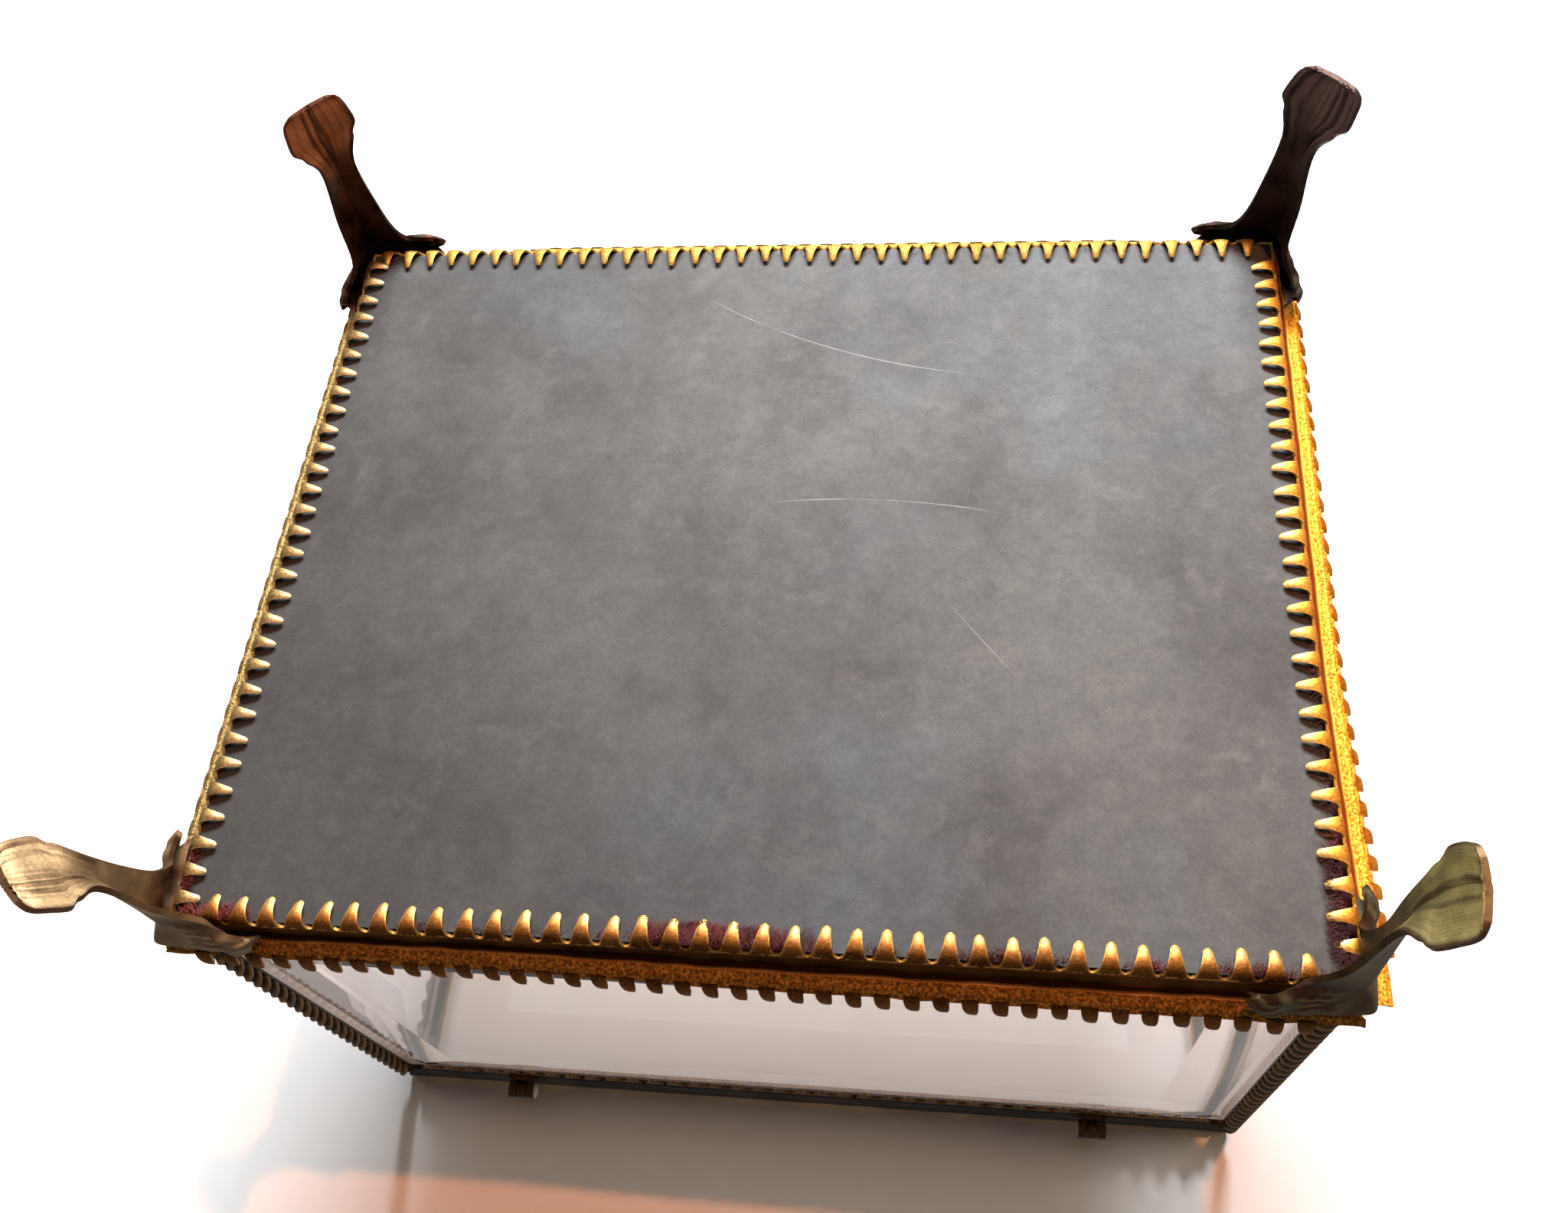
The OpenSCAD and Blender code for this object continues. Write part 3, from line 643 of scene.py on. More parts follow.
class BaseStrips(bpy.types.Operator):
    """Stamps the four strips under the case: claws, cove, stippled band and hooks"""

    bl_idname = "casket.base_strips"
    bl_label = "Base strips"

    # Seed, claw tip's half width in mm, hook phase in mm and hook lean in degrees
    ROLLS = {"rear": (11, 0.52, 0.9, 25), "front": (12, 0.42, 0.5, 25), "left": (13, 0.44, 1.2, 12), "right": (14, 0.48, 1.1, 30)}
    # How far use has pulled each strip out of line, in mm at places along it
    PULLS = {
        "rear": {"claws": ((0, 1), (0, 0)), "band": ((-60, -28, 0, 40), (-0.5, -0.6, -0.15, 0))},
        "front": {"claws": ((0, 1), (0, 0)), "band": ((-52, -46, 40, 46), (0, 0.8, 0.8, 0))},
        "left": {"claws": ((0, 1), (0, 0)), "band": ((0, 1), (0, 0))},
        "right": {"claws": ((-52, -34, -16), (1.3, 0.6, 0)), "band": ((0, 1), (0, 0))},
    }

    def execute(self, context):
        sizes = context.scene.casket_sizes
        pitch = sizes.claw_pitch / MM
        for side, (seed, tip, hook_phase, lean) in self.ROLLS.items():
            phase = CLAW_PHASE[side] / MM
            strip = Strip(side, BASE_Z, pull=self.PULLS[side])
            half = strip.half / MM
            path = smooth_path(COVE, 2)[:-1] + smooth_path(BAND, 2)
            # Along the profile the strip is bright at the gap bottoms, a painted highlight, and darkest where the cove
            # meets the band, part grime and part painted shade.
            strip.body(
                path, pitch, phase, lambda u: half + min(u, 1.3),
                ((0, 0.02, 0.05, 0.2, 0.36, 0.48, 0.53, 0.58, 0.8, 1), (0.0, 0.4, 0.7, 0.75, 0.85, 1.3, 0.35, 0.5, 0.4, 0.75)),
                ((0, 0.53, 0.57, 0.95, 1), (0, 0, 1, 1, 0.5)), wave=0.03, seed=seed,
            )
            strip.claws(smooth_path(BASE_CLAW, 2), pitch, phase, 2.2, seed, tip, slant=0.05)
            bent = (lambda a: lean + 16 * ramp(-a / half, (0.2, 0.95), (0, 1))) if side == "right" else (lambda a: lean)
            strip.hooks((3.42, 3.5), sizes.hook_pitch / MM, hook_phase, 2.0, seed, lambda a: 2.24, bent)
            made = piece(
                "base_strip_%s_dressed" % side, strip.sheet.points, strip.sheet.faces, gilt_for(side),
                "case", strip.sheet.masks, closed=False, gauge=sizes.sheet_gauge,
            )
            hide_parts("base_strip_" + side)
        return {"FINISHED"}


class RimStrips(bpy.types.Operator):
    """Caps the top edges of the panes with strips whose claws hold the glass"""

    bl_idname = "casket.rim_strips"
    bl_label = "Rim strips"

    def execute(self, context):
        sizes = context.scene.casket_sizes
        pitch = sizes.claw_pitch / MM
        finish = shared(
            "Gilt stamped brass, rim", gilt_brass,
            *[linear(c) for c in ("#3E2C18", "#24180E", "#0E0806", "#7A5226", "#C79A45")],
        )
        for seed, side in enumerate(SIDES, 21):
            phase = CLAW_PHASE[side] / MM
            strip = Strip(side, RIM_Z)
            half = strip.half / MM
            strip.body(
                smooth_path(RIM_FACE, 2), pitch, phase, lambda u: half - max(1.7, -u),
                ((0, 0.2, 0.4, 0.6, 1), (1.0, 0.9, 0.5, 0.7, 0.6)), ((0, 1), (0, 0)),
            )
            strip.claws(smooth_path(RIM_CLAW, 2), pitch, phase, 3.9, seed, half_tip=0.5, dome=0.16, wander=0.03)
            made = piece(
                "rim_%s_dressed" % side, strip.sheet.points, strip.sheet.faces, finish,
                "case", strip.sheet.masks, closed=False, gauge=sizes.sheet_gauge,
            )
            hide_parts("rim_" + side)
        return {"FINISHED"}


class LidFrame(bpy.types.Operator):
    """Stamps the lid's frame: claws over the glass, a beaded face and a ledge below"""

    bl_idname = "casket.lid_frame"
    bl_label = "Lid frame"

    def execute(self, context):
        sizes = context.scene.casket_sizes
        pitch = sizes.claw_pitch / MM
        finish = shared(
            "Gilt stamped brass, lid", gilt_brass, context.scene.casket_colours.gilt,
            *[linear(c) for c in ("#3E2A18", "#140C08", "#8A6230", "#C79A45")],
        )
        for seed, side in enumerate(SIDES, 31):
            phase = CLAW_PHASE[side] / MM
            strip = Strip(side, LID_HIGH.z, mirror=-1)
            half = strip.half / MM
            strip.body(
                smooth_path(LID_FACE, 2), pitch, phase, lambda u: half + min(u, 0.6),
                ((0, 0.15, 0.3, 0.4, 0.5, 0.7, 0.8, 1), (0.3, 0.3, 0.7, 1, 0.8, 0.6, 0.9, 0.25)), ((0, 1), (0, 0)),
            )
            strip.claws(smooth_path(LID_CLAW, 2), pitch, phase, 2.2, seed, dome=0.0, wander=0.03)
            made = piece(
                "lid_frame_%s_dressed" % side, strip.sheet.points, strip.sheet.faces, finish,
                "lid", strip.sheet.masks, closed=False, gauge=sizes.sheet_gauge,
            )
            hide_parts("lid_frame_" + side)
        return {"FINISHED"}


# ---------------------------------------------------------------- posts, feet, pad


class CornerPosts(bpy.types.Operator):
    """Twists a three-strand wire up each outer corner, and sets the bar behind it"""

    bl_idname = "casket.corner_posts"
    bl_label = "Corner posts"

    def execute(self, context):
        lay = context.scene.casket_sizes.rope_lay
        finish = shared("Old toned brass, wires", toned_brass, linear("#7E5C34"), linear("#0E0806"), linear("#1E120C"))
        across = 24
        for name, (sx, sy) in CORNERS.items():
            low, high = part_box("post_" + name)
            base = BASE_Z + 3.3 * MM
            post = Sheet(("vein", "edge", "verdigris"))
            rise = int((high.z - base) / (0.4 * MM))
            rows, veins = [], []
            for i in range(rise + 1):
                z = base + (high.z - base) * i / rise
                ring, deep = [], []
                for j in range(across + 1):
                    angle = 2 * math.pi * j / across
                    strand = abs(math.cos(1.5 * (angle - 2 * math.pi * z / lay)))
                    radius = (0.7 + 0.5 * strand) * MM
                    ring.append(Vector((
                        sx * (HALF_W + 0.3 * MM) + radius * math.cos(angle),
                        sy * (HALF_D + 0.3 * MM) + radius * math.sin(angle), z,
                    )))
                    deep.append(strand ** 4)
                rows.append(ring)
                veins.append(deep)
            flat = [0.0] * len(rows)
            post.grid(rows, {"vein": veins, "edge": flat, "verdigris": flat})
            # A slim angle of soldered strip behind the wire, where the panes meet
            angle = [(0.35, -0.5), (0.35, 0.35), (-0.5, 0.35), (-0.5, 0.0), (0.0, 0.0), (0.0, -0.5)]
            heights = [PANE_LOW.z + (PANE_HIGH.z - PANE_LOW.z) * i / 24 for i in range(25)]
            sides = []
            for z in heights:
                sides.append([
                    Vector((sx * (HALF_W + x * MM - 0.35 * MM), sy * (HALF_D + y * MM - 0.35 * MM), z))
                    for x, y in angle + angle[:1]
                ])
            flat = [0.0] * len(sides)
            post.grid(sides, {"vein": [0.1] * len(sides), "edge": [0.6] * len(sides), "verdigris": flat})
            for ring in (sides[0], sides[-1]):
                start = len(post.points)
                post.points += ring[:-1]
                for key in post.masks:
                    post.masks[key] += [0.0] * (len(ring) - 1)
                post.faces += [(start, start + 1, start + 4, start + 5), (start + 1, start + 2, start + 3, start + 4)]
            for ring in (rows[0], rows[-1]):
                start = len(post.points)
                post.points += ring[:-1]
                for key in post.masks:
                    post.masks[key] += [0.0] * (len(ring) - 1)
                post.faces.append(tuple(range(start, start + len(ring) - 1)))
            made = piece("post_%s_dressed" % name, post.points, post.faces, finish, "case", post.masks)
            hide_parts("post_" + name)
        return {"FINISHED"}


# A foot from floor to bracket in mm: height, fold line past the corner, half width, fold depth
WING = 9.19
FOOT_RINGS = [
    (0, 2.8, 3.0, 0.3), (0.675, 2.4, 4.4, 0.3), (2.03, 1.5, 5.0, 0.39), (4.5, 0.3, 5.0, 0.48),
    (7.6, -0.5, 2.7, 1.0), (16.19, -0.2, 3.35, 2.0), (21.78, 0.1, 4.2, 4.2),
    (23.78, 0.17, (4 + WING) / 2, (4 + WING) / 2), (24.78, 0.594, WING, WING), (27.1, 2.12, WING, WING),
    (27.3, -0.4, WING, WING),
]
FOOT_GAUGE = 0.8   # mm
# How far each foot's toe is bent along x and y in mm, and its twist in degrees
FOOT_BENDS = {
    "front_left": (-1.5, 0.8, 0), "front_right": (1.0, 0.6, 0), "rear_left": (1.0, 1.8, 0), "rear_right": (3.2, -4.4, -40),
}
# Each foot's metal, its own toning with painted light and shade on top (the front feet darker, the rear feet lighter):
# rubbed ridges, grooves, rim
FOOT_TINTS_LIT_AND_SHADED = {
    "front_left": ("#8E5638", "#1E0C08", "#2A1410"), "front_right": ("#66504A", "#1A1110", "#2C2018"),
    "rear_left": ("#BA9C72", "#5A3E2C", "#482A20"), "rear_right": ("#9A8C5A", "#382A1C", "#402620"),
}
# Veins across half the leaf, and how far the leg leans to the ridges' colour, set per foot as painted light and shade:
# darkest on the front left, lightest on the rear left
FOOT_VEINS = {"front_left": (3.6, 0.12), "front_right": (3.6, 0.2), "rear_left": (4.4, 0.45), "rear_right": (2.4, 0.2)}


def foot_relief(s, z, height, luck, veins, leg_tone_and_shade):
    """Vein mask and lift at s across and z up a foot: veins fan over the leaf, fine lines
    run up the leg and coarser ones along the wings, whose ends swell into a bud."""
    wander = 0.9 * math.sin(luck + 0.5 * z) * math.exp(-z / 9) + 0.8 * math.sin(luck * 3 + 4 * s) * (1 - s * s)
    spread = abs(s) ** 0.8 * veins * (1 + 0.15 * math.sin(luck * 2 + (1 if s > 0 else 4)))
    deep = 0.55 + 0.45 * math.sin(5.3 * s + 2.1 * luck)
    leaf = 1 - deep * (0.5 + 0.5 * math.cos(2 * math.pi * spread + wander + 3.1)) ** 5
    fine = 0.5 + 0.3 * math.cos(2 * math.pi * 12 * s + luck + math.sin(0.7 * z)) + 0.2 * math.cos(119 * s + 2 * luck)
    toe = ramp(z, (0, 0.4, 6, 11), (0.4, 1, 1, 0.0))
    leg = ramp(z, (8, 14, 20, 24), (0.0, 0.6, 0.6, 0.1))
    wing = ramp(z, (23.0, 24.2), (0, 1)) * ramp(abs(s), (0.25, 0.4), (0, 1))
    combed = (0.5 + 0.5 * math.cos(2 * math.pi * (z + 1.4 * abs(s)) / 0.8 + luck)) ** 2
    # The leg's base tone carries each foot's painted light and shade.
    plain = ramp(z, (5, 14), (0.5, leg_tone_and_shade))
    vein = plain + (0.65 * leaf + 0.3 * fine - 0.5) * toe + 0.5 * (fine - 0.5) * leg + (0.9 * combed - 0.3) * wing
    lift = height * ((leaf - 0.6) * toe * (1 - abs(s) ** 6) + 0.15 * (fine - 0.5) * (toe + leg) + 0.7 * (combed - 0.6) * wing)
    bud = sum(h * math.exp(-((abs(s) - c) / w) ** 2) for c, h, w in ((0.86, 1.3, 0.15), (0.6, 0.7, 0.12), (0.4, 0.4, 0.1)))
    return vein, lift + bud * ramp(z, (22.8, 24.0, 26.2, 27.1), (0, 1, 1, 0.2))


def foot_heights():
    """Rings from floor to bracket, smooth on the leg and straight on the wings."""
    tall, last = [], len(FOOT_RINGS) - 1
    for i in range(last):
        parts = 10 if i < last - 3 else 6
        if i < last - 3:
            tall += smooth_path(FOOT_RINGS, parts)[i * parts:(i + 1) * parts]
        else:
            low, high = np.array(FOOT_RINGS[i]), np.array(FOOT_RINGS[i + 1])
            tall += [low + (high - low) * k / parts for k in range(parts)]
    return tall + [np.array(FOOT_RINGS[-1])]


class LeafFeet(bpy.types.Operator):
    """Presses the four leaf feet: bracket, folded leg, ankle and veined leaf"""

    bl_idname = "casket.leaf_feet"
    bl_label = "Leaf feet"

    def execute(self, context):
        vein_height = context.scene.casket_sizes.vein_height / MM
        across = 72
        tall = foot_heights()
        for luck, (name, (sx, sy)) in enumerate(CORNERS.items(), 1):
            bend_x, bend_y, twist = FOOT_BENDS[name]
            finish = shared(
                "Old toned brass, " + name.replace("_", " ") + " foot", toned_brass, *[linear(c) for c in FOOT_TINTS_LIT_AND_SHADED[name]]
            )
            foot = Sheet(("vein", "edge", "verdigris"))
            rows, masks = [], {"vein": [], "edge": [], "verdigris": []}
            for z, fold_line, width, depth in tall:
                pinch = 1 - 0.12 * math.exp(-((z - 4.9) / 0.55) ** 2) if z < 7.6 else 1.0
                lean = max(1 - z / 24.78, 0) ** 2
                turn = math.radians(45 + twist * lean)
                middle = fold_line + FOOT_GAUGE / math.sqrt(2)
                # The wings' ends are rounded off like a bud
                end = 1 - 0.10 * (1 - math.sqrt(max(0.0, 1 - ((z - 25.8) / 1.31) ** 2))) if z > 24.5 else 1.0
                row, line = [], {"vein": [], "edge": [], "verdigris": []}
                for j in range(across + 1):
                    s = 2 * j / across - 1
                    vein, lift = foot_relief(s, z, vein_height, luck, *FOOT_VEINS[name])
                    soft = math.sqrt(s * s + 0.01) - 0.1
                    fold = FOOT_GAUGE / math.sqrt(2) - depth * soft * end
                    side = width * pinch * end * s
                    x = middle / math.sqrt(2) + fold * math.cos(turn) - side * math.sin(turn) + bend_x * lean
                    y = middle / math.sqrt(2) + fold * math.sin(turn) + side * math.cos(turn) + bend_y * lean
                    # Relief stands off along the face: the diagonal on the leaf, out of the wall on a wing
                    wall = ramp(z, (20, 23.8), (0, 1)) * ramp(abs(s), (0.05, 0.2), (0, 1))
                    slant = math.radians(45) * (-1 if s > 0 else 1) * wall
                    x += lift * math.cos(turn - slant)
                    y += lift * math.sin(turn - slant)
                    row.append(Vector((sx * (HALF_W + x * MM), sy * (HALF_D + y * MM), z * MM)))
                    line["vein"].append(vein)
                    rim = max(0.0, abs(s) - 0.9) / 0.1 * ramp(z, (0, 9, 12), (0.8, 0.8, 0.3))
                    line["edge"].append(max(rim, ramp(z, (19, 23.2, 24.2, 24.9), (0, 0.85, 0.3, 0.5)), ramp(z, (0, 0.5), (0.6, 0))))
                    line["verdigris"].append(ramp(z, (22, 25), (0, 0.12)))
                rows.append(row)
                for key in masks:
                    masks[key].append(line[key])
            foot.grid(rows, masks, flip=sx * sy > 0)
            made = piece(
                "foot_%s_dressed" % name, foot.points, foot.faces, finish, "case", foot.masks,
                closed=False, gauge=0.7 * MM,
            )
            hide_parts("foot_" + name)
        return {"FINISHED"}


class VelvetPad(bpy.types.Operator):
    """Lays the velvet pad on the floor, and leaves its fibres between the claws"""

    bl_idname = "casket.velvet_pad"
    bl_label = "Velvet pad"

    # Where fibres show: side, from and to along it in mm, how many, how far they reach
    TUFTS = (
        ("rear", -11, 14, 1500, 2.8), ("rear", 14, 34, 300, 1.6), ("rear", -40, -11, 100, 1.2), ("rear", -65, -52, 420, 2.0),
        ("rear", 44, 65, 300, 1.6), ("right", -51, -36, 420, 2.2), ("right", -36, -5, 200, 1.4),
        ("right", -5, 50, 120, 1.2), ("left", 40, 51, 120, 1.6), ("left", -50, 40, 60, 1.0), ("front", -60, 60, 90, 1.0),
    )

    def execute(self, context):
        low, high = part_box("velvet_floor")
        finish = shared("Cotton velvet", cotton_velvet, context.scene.casket_colours.velvet, linear("#3A0A14"))
        half = ((high.x - low.x) / 2, (high.y - low.y) / 2)
        edge = 2.9 * MM
        crown = high.z - low.z - edge - 0.05 * MM
        luck = random.Random(7)
        dents = [(luck.uniform(-0.8, 0.8), luck.uniform(-0.8, 0.8), luck.uniform(0.1, 0.3), luck.uniform(-1, 1)) for _ in range(14)]
        n = 64
        share = [math.sin(math.pi / 2 * (2 * k / n - 1)) for k in range(n + 1)]
        pad = Sheet(())
        for up in (True, False):
            rows = []
            for q in share:
                row = []
                for p in share:
                    roll = (max(0.0, 1 - abs(p) ** 14) * max(0.0, 1 - abs(q) ** 14)) ** 0.5
                    puff = crown * (1 - p * p) * (1 - q * q)
                    dent = sum(w * math.exp(-((p - x) ** 2 + (q - y) ** 2) / r ** 2) for x, y, r, w in dents) * 0.12 * MM
                    middle = low.z + edge / 2
                    z = middle + (edge / 2 + puff + min(0.0, dent)) * roll if up else middle - edge / 2 * roll
                    pull = 1 - 0.006 * math.sin(math.pi * (q + 1) / 2) * p * p
                    tuck = 1 - 0.006 * math.sin(math.pi * (p + 1) / 2) * q * q
                    row.append(Vector((half[0] * p * pull, half[1] * q * tuck, z)))
                rows.append(row)
            pad.grid(rows, {}, flip=up)
        made = piece("velvet_pad", pad.points, pad.faces, finish, "case", corner=80)
        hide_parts("velvet_floor")
        self.fibres(shared("Frayed cotton", cotton_velvet, linear("#642018"), linear("#320C0C"), sheen=0.12))
        self.lining(finish)
        return {"FINISHED"}

    def lining(self, finish):
        """The cloth's edge, which shows where a strip stands off the plate."""
        cloth = Sheet(())
        for side, pulls in BaseStrips.PULLS.items():
            strip = Strip(side, BASE_Z)
            half = strip.half / MM
            places = np.linspace(-half, half, 60)
            rows = [
                strip.row([
                    (min(max(a, -half - min(u, 0)), half + min(u, 0)), u + (ramp(a, *pulls["claws"]) if u > -1 else 0), z)
                    for a in places
                ])
                for u, z in ((-2.4, 0.9), (-0.6, 0.86), (0.0, 0.9), (0.1, 1.3))
            ]
            cloth.grid(rows, {})
        return piece("velvet_lining", cloth.points, cloth.faces, finish, "case", closed=False)

    def fibres(self, finish):
        """Thin curled fibres that stick out between the plate and the claws."""
        luck = random.Random(19)
        wool = Sheet(())
        for side, first, last, count, most in self.TUFTS:
            strip = Strip(side, BASE_Z)
            clumps = [(luck.uniform(first, last), luck.uniform(0.5, 2.2)) for _ in range(max(2, int((last - first) / 3)))]
            for _ in range(count):
                spot, spread = luck.choice(clumps)
                at = luck.gauss(spot, spread)
                out, up = luck.uniform(-0.5, 0.0), luck.uniform(-0.75, -0.12)
                reach, curl, sway = luck.uniform(0.3, 1) ** 1.5 * most, luck.uniform(-1.2, 1.2), luck.uniform(-0.6, 0.6)
                thick, loop = luck.uniform(0.04, 0.08), luck.uniform(0.1, 0.55)
                if abs(at) > strip.half / MM - 1:
                    continue
                rings = []
                for k in range(6):
                    f = k / 5
                    centre = (
                        at + sway * f * 2 + curl * f * f + 0.2 * math.sin(7 * f + at),
                        out - reach * math.sin(f * 1.5), max(-0.85, min(-0.08, up - loop * math.sin(math.pi * f))),
                    )
                    rings.append(strip.row([
                        (
                            centre[0] + thick * (1 - 0.6 * f) * math.cos(t), centre[1],
                            centre[2] + thick * (1 - 0.6 * f) * math.sin(t),
                        )
                        for t in (0, 2.094, 4.189, 6.283)
                    ]))
                wool.grid(rings, {})
        return piece("velvet_fibres", wool.points, wool.faces, finish, "case", closed=False)


# ---------------------------------------------------------------- glass, plate, hinges


class BevelledPanes(bpy.types.Operator):
    """Cuts the four wall panes: plates bevelled on the outside that meet at the corners"""

    bl_idname = "casket.bevelled_panes"
    bl_label = "Bevelled panes"

    BEVEL = 12.0            # mm from the pane's edge to the foot of the bevel
    BACK, FACE, EDGE = -3.0, 1.0, -0.4   # mm out from the case plane

    def execute(self, context):
        # The tints, pinker on the bevels, are faint painted shade and refraction: the warm, shaded things seen through
        # the glass.
        clear = shared("Polished plate glass", plate_glass, linear("#FBF8F7"))
        ground = shared("Ground bevel glass", plate_glass, linear("#F2E6E2"))
        frosted = shared("Frosted glass edge", frosted_glass, linear("#B8AEAA"))
        for side in SIDES:
            strip = Strip(side, PANE_LOW.z)
            half, tall = strip.half / MM, (PANE_HIGH.z - PANE_LOW.z) / MM
            stops = {u: half + u - 0.12 for u in (self.BACK, self.EDGE)}
            inner = half - self.BEVEL - 0.5
            back = strip.row([(a * stops[self.BACK], self.BACK, z) for z in (0, tall) for a in (-1, 1)])
            rim = strip.row([(a * stops[self.EDGE], self.EDGE, z) for z in (0, tall) for a in (-1, 1)])
            flat = strip.row([(a * inner, self.FACE, z) for z in (self.BEVEL, tall - self.BEVEL) for a in (-1, 1)])
            faces = [
                (0, 1, 3, 2), (8, 9, 11, 10), (0, 1, 5, 4), (1, 3, 7, 5), (3, 2, 6, 7), (2, 0, 4, 6),
                (4, 5, 9, 8), (5, 7, 11, 9), (7, 6, 10, 11), (6, 4, 8, 10),
            ]
            made = piece("pane_%s_dressed" % side, back + rim + flat, faces, clear, "case", corner=1)
            made.data.materials.append(ground)
            made.data.materials.append(frosted)
            for face in made.data.polygons:
                corners = {i in range(4, 12) for i in face.vertices}
                top = [made.data.vertices[i].co for i in face.vertices]
                out = [(strip.out.dot(p - strip.origin)) / MM for p in top]
                cut = min(out) < self.BACK + 0.5 and max(out) > self.BACK + 0.5
                face.material_index = 2 if cut else 1 if corners and max(out) > 0.5 and min(out) < 0.5 else 0
            made.visible_shadow = False
            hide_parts("pane_" + side)
        return {"FINISHED"}


class SheetsAndHinges(bpy.types.Operator):
    """Finishes the base plate, the lid glass and the hinges, which keep their solids"""

    bl_idname = "casket.sheets_and_hinges"
    bl_label = "Plate, lid glass and hinges"

    def execute(self, context):
        dress(["base_plate"], zinc_sheet("Rolled zinc sheet", *[linear(c) for c in ("#4E4D49", "#6B6964", "#35322F", "#4F5354")]))
        # The lid glass's own pinker tint is painted shade of the box's shadow seen through it.
        dress(["lid_glass"], plate_glass("Plate glass, lid", linear("#F2EAE4")))
        frame["nodes"]["lid_glass"].visible_shadow = False
        dark = shared("Old toned brass, hinges", toned_brass, linear("#7A5630"), linear("#3A2616"), linear("#2A1A12"))
        dress([n for n in frame["nodes"] if n.startswith(("hinge_", "lid_knuckle_"))], dark)
        return {"FINISHED"}


# ---------------------------------------------------------------- stage


def one_sided_paper(name, colour):
    """Matt white paper that only shows on its upper face, so that the box can be seen
    through it from the other side."""
    made, tree = blank_material(name)
    matt = add(tree, "ShaderNodeBsdfDiffuse", {"Color": colour})
    gone = add(tree, "ShaderNodeBsdfTransparent")
    back = add(tree, "ShaderNodeNewGeometry")
    mixed = add(tree, "ShaderNodeMixShader", None, {0: back.outputs["Backfacing"], 1: matt.outputs[0], 2: gone.outputs[0]})
    add(tree, "ShaderNodeOutputMaterial", links={"Surface": mixed.outputs[0]})
    return made


def paper_sheet(name, centre, width, depth, facing, material):
    """A flat sheet of the stage, facing up (1) or down (-1)."""
    mesh = bpy.data.meshes.new(name)
    x, y, z = centre
    ring = [(x - width, y - depth, z), (x + width, y - depth, z), (x + width, y + depth, z), (x - width, y + depth, z)]
    mesh.from_pydata(ring, [], [(0, 1, 2, 3) if facing > 0 else (3, 2, 1, 0)])
    mesh.materials.append(material)
    made = bpy.data.objects.new(name, mesh)
    bpy.context.scene.collection.objects.link(made)
    made.visible_shadow = False
    made.visible_diffuse = False
    made.visible_glossy = False
    return made


def soft_light(name, place, target, size, power, colour):
    """A soft light, (wide, high) in metres, that looks at a point."""
    data = bpy.data.lights.new(name, "AREA")
    data.shape = "RECTANGLE"
    data.size, data.size_y = size
    data.energy = power
    data.color = linear(colour)[:3]
    made = bpy.data.objects.new(name, data)
    bpy.context.scene.collection.objects.link(made)
    made.location = place
    way = Vector(target) - Vector(place)
    made.rotation_euler = way.to_track_quat("-Z", "Y").to_euler()
    return made


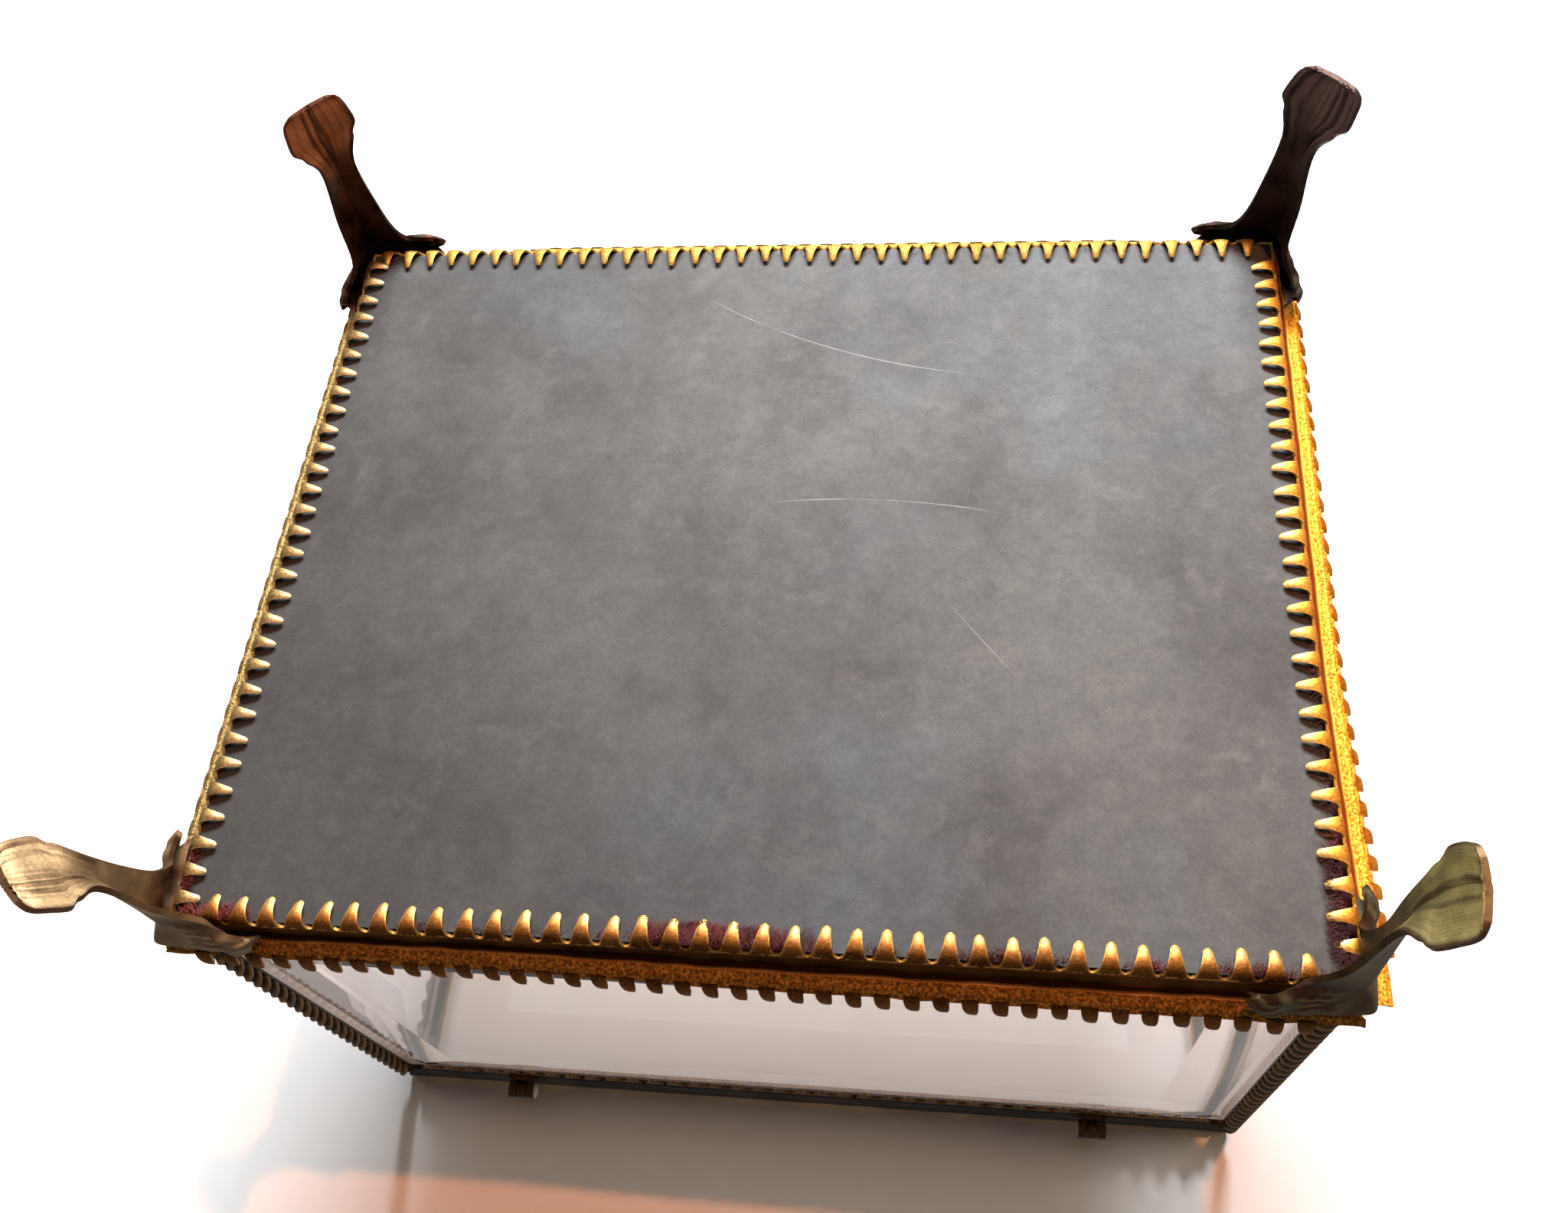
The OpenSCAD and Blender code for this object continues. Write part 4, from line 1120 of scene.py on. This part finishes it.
class Stage(bpy.types.Operator):
    """Sets the paper, the camera and the soft lights"""

    bl_idname = "casket.stage"
    bl_label = "Stage"

    # The photographer's eye, in mm, and the camera's right, up and view directions
    EYE = (26.605, 94.428, -126.409)
    RIGHT = (0.99029, -0.08632, 0.10894)
    UP = (-0.02114, -0.86820, -0.49576)
    VIEW = (-0.13737, -0.48865, 0.86160)
    LENS = 32.2988

    def execute(self, context):
        scene = context.scene
        colours = scene.casket_colours
        paper = one_sided_paper("White paper", colours.paper)
        paper_sheet("floor", (0, 0, 0), 3, 3, 1, paper)
        under = paper_sheet("paper", (-0.047, -0.078, CAD_BOX[1][2]), 0.213, 0.163, -1, paper)
        under.parent = frame["bodies"]["lid"]
        under.matrix_parent_inverse = frame["bodies"]["lid"].matrix_world.inverted()
        camera = bpy.data.objects.new("camera", bpy.data.cameras.new("camera"))
        scene.collection.objects.link(camera)
        right, up, view = Vector(self.RIGHT), Vector(self.UP), Vector(self.VIEW)
        turn = Matrix((right, up, -view)).transposed().to_4x4()
        camera.matrix_world = Matrix.Translation(Vector(self.EYE) * MM) @ turn
        camera.data.sensor_width = 36
        camera.data.lens = self.LENS
        camera.data.clip_start = 0.005
        scene.camera = camera
        scene.view_settings.view_transform = "Standard"
        soft_light("window", (0.03, -0.35, -0.31), (0, 0, 0.04), (0.3, 0.09), 6.8, "#F4F9FF")
        soft_light("sky", (0, -0.53, -0.33), (0, 0, 0.08), (0.3, 0.06), 3.2, "#F4F8FF")
        soft_light("lamp", (0.17, -0.10, -0.95), (0, 0, 0.05), (0.02, 0.02), 4.4, "#FF9C68")
        soft_light("right", (0.6, -0.05, -0.11), (0, 0, 0.04), (0.3, 0.2), 0.9, "#FFDCA0")
        soft_light("left", (-0.7, -0.3, -0.11), (0, 0, 0.03), (0.3, 0.2), 0.6, "#FFF6E0")
        soft_light("top", (0.15, -0.25, 0.6), (0, 0, 0.05), (0.4, 0.4), 1.9, "#FFFFFF")
        self.world(scene)
        return {"FINISHED"}

    def world(self, scene):
        """White behind the box and through its glass, dimmer walls for the brass to
        mirror, and even light that comes mostly from above."""
        sky = bpy.data.worlds.new("studio")
        sky.use_nodes = True
        sky.node_tree.nodes.clear()
        tree = sky.node_tree
        path = add(tree, "ShaderNodeLightPath")
        way = add(tree, "ShaderNodeTexCoord").outputs["Generated"]
        height = add(tree, "ShaderNodeSeparateXYZ", None, {0: way}).outputs["Z"]
        level = add(
            tree, "ShaderNodeMapRange", {"From Min": 0.0, "From Max": 0.3, "To Min": 0.055, "To Max": 0.62}, {"Value": height}
        )
        seen = add(tree, "ShaderNodeBackground", {"Color": linear("#FFFFFF"), "Strength": 1.0})
        room = add(tree, "ShaderNodeBackground", {"Color": linear("#FFDCCC")}, {"Strength": level.outputs["Result"]})
        walls = add(tree, "ShaderNodeBackground", {"Color": linear("#F6F3EE"), "Strength": 0.42})
        clear = add(
            tree, "ShaderNodeMath", {}, {0: path.outputs["Is Camera Ray"], 1: path.outputs["Is Transmission Ray"]},
            operation="MAXIMUM",
        )
        dim = add(tree, "ShaderNodeMixShader", None, {0: path.outputs["Is Glossy Ray"], 1: room.outputs[0], 2: walls.outputs[0]})
        mixed = add(tree, "ShaderNodeMixShader", None, {0: clear.outputs[0], 1: dim.outputs[0], 2: seen.outputs[0]})
        add(tree, "ShaderNodeOutputWorld", links={"Surface": mixed.outputs[0]})
        scene.world = sky


# ---------------------------------------------------------------- add-on


OPERATORS = (BaseStrips, RimStrips, LidFrame, CornerPosts, LeafFeet, VelvetPad, BevelledPanes, SheetsAndHinges, Stage)


class CASKET_PT_build(bpy.types.Panel):
    """Lists the casket's steps"""

    bl_idname = "CASKET_PT_build"
    bl_label = "Casket"
    bl_space_type = "VIEW_3D"
    bl_region_type = "UI"
    bl_category = "Casket"

    def draw(self, context):
        for kind in OPERATORS:
            self.layout.operator(kind.bl_idname)
        for group in (context.scene.casket_sizes, context.scene.casket_colours):
            for key in group.bl_rna.properties.keys():
                if key not in ("rna_type", "name"):
                    self.layout.prop(group, key)


CLASSES = (CasketSizes, CasketColours) + OPERATORS + (CASKET_PT_build,)


def register():
    for kind in CLASSES:
        bpy.utils.register_class(kind)
    bpy.types.Scene.casket_sizes = bpy.props.PointerProperty(type=CasketSizes)
    bpy.types.Scene.casket_colours = bpy.props.PointerProperty(type=CasketColours)


def unregister():
    del bpy.types.Scene.casket_sizes
    del bpy.types.Scene.casket_colours
    for kind in reversed(CLASSES):
        bpy.utils.unregister_class(kind)


def main():
    register()
    for kind in OPERATORS:
        group, step = kind.bl_idname.split(".")
        getattr(getattr(bpy.ops, group), step)()
    bpy.context.view_layer.update()


if __name__ == "__main__":
    main()
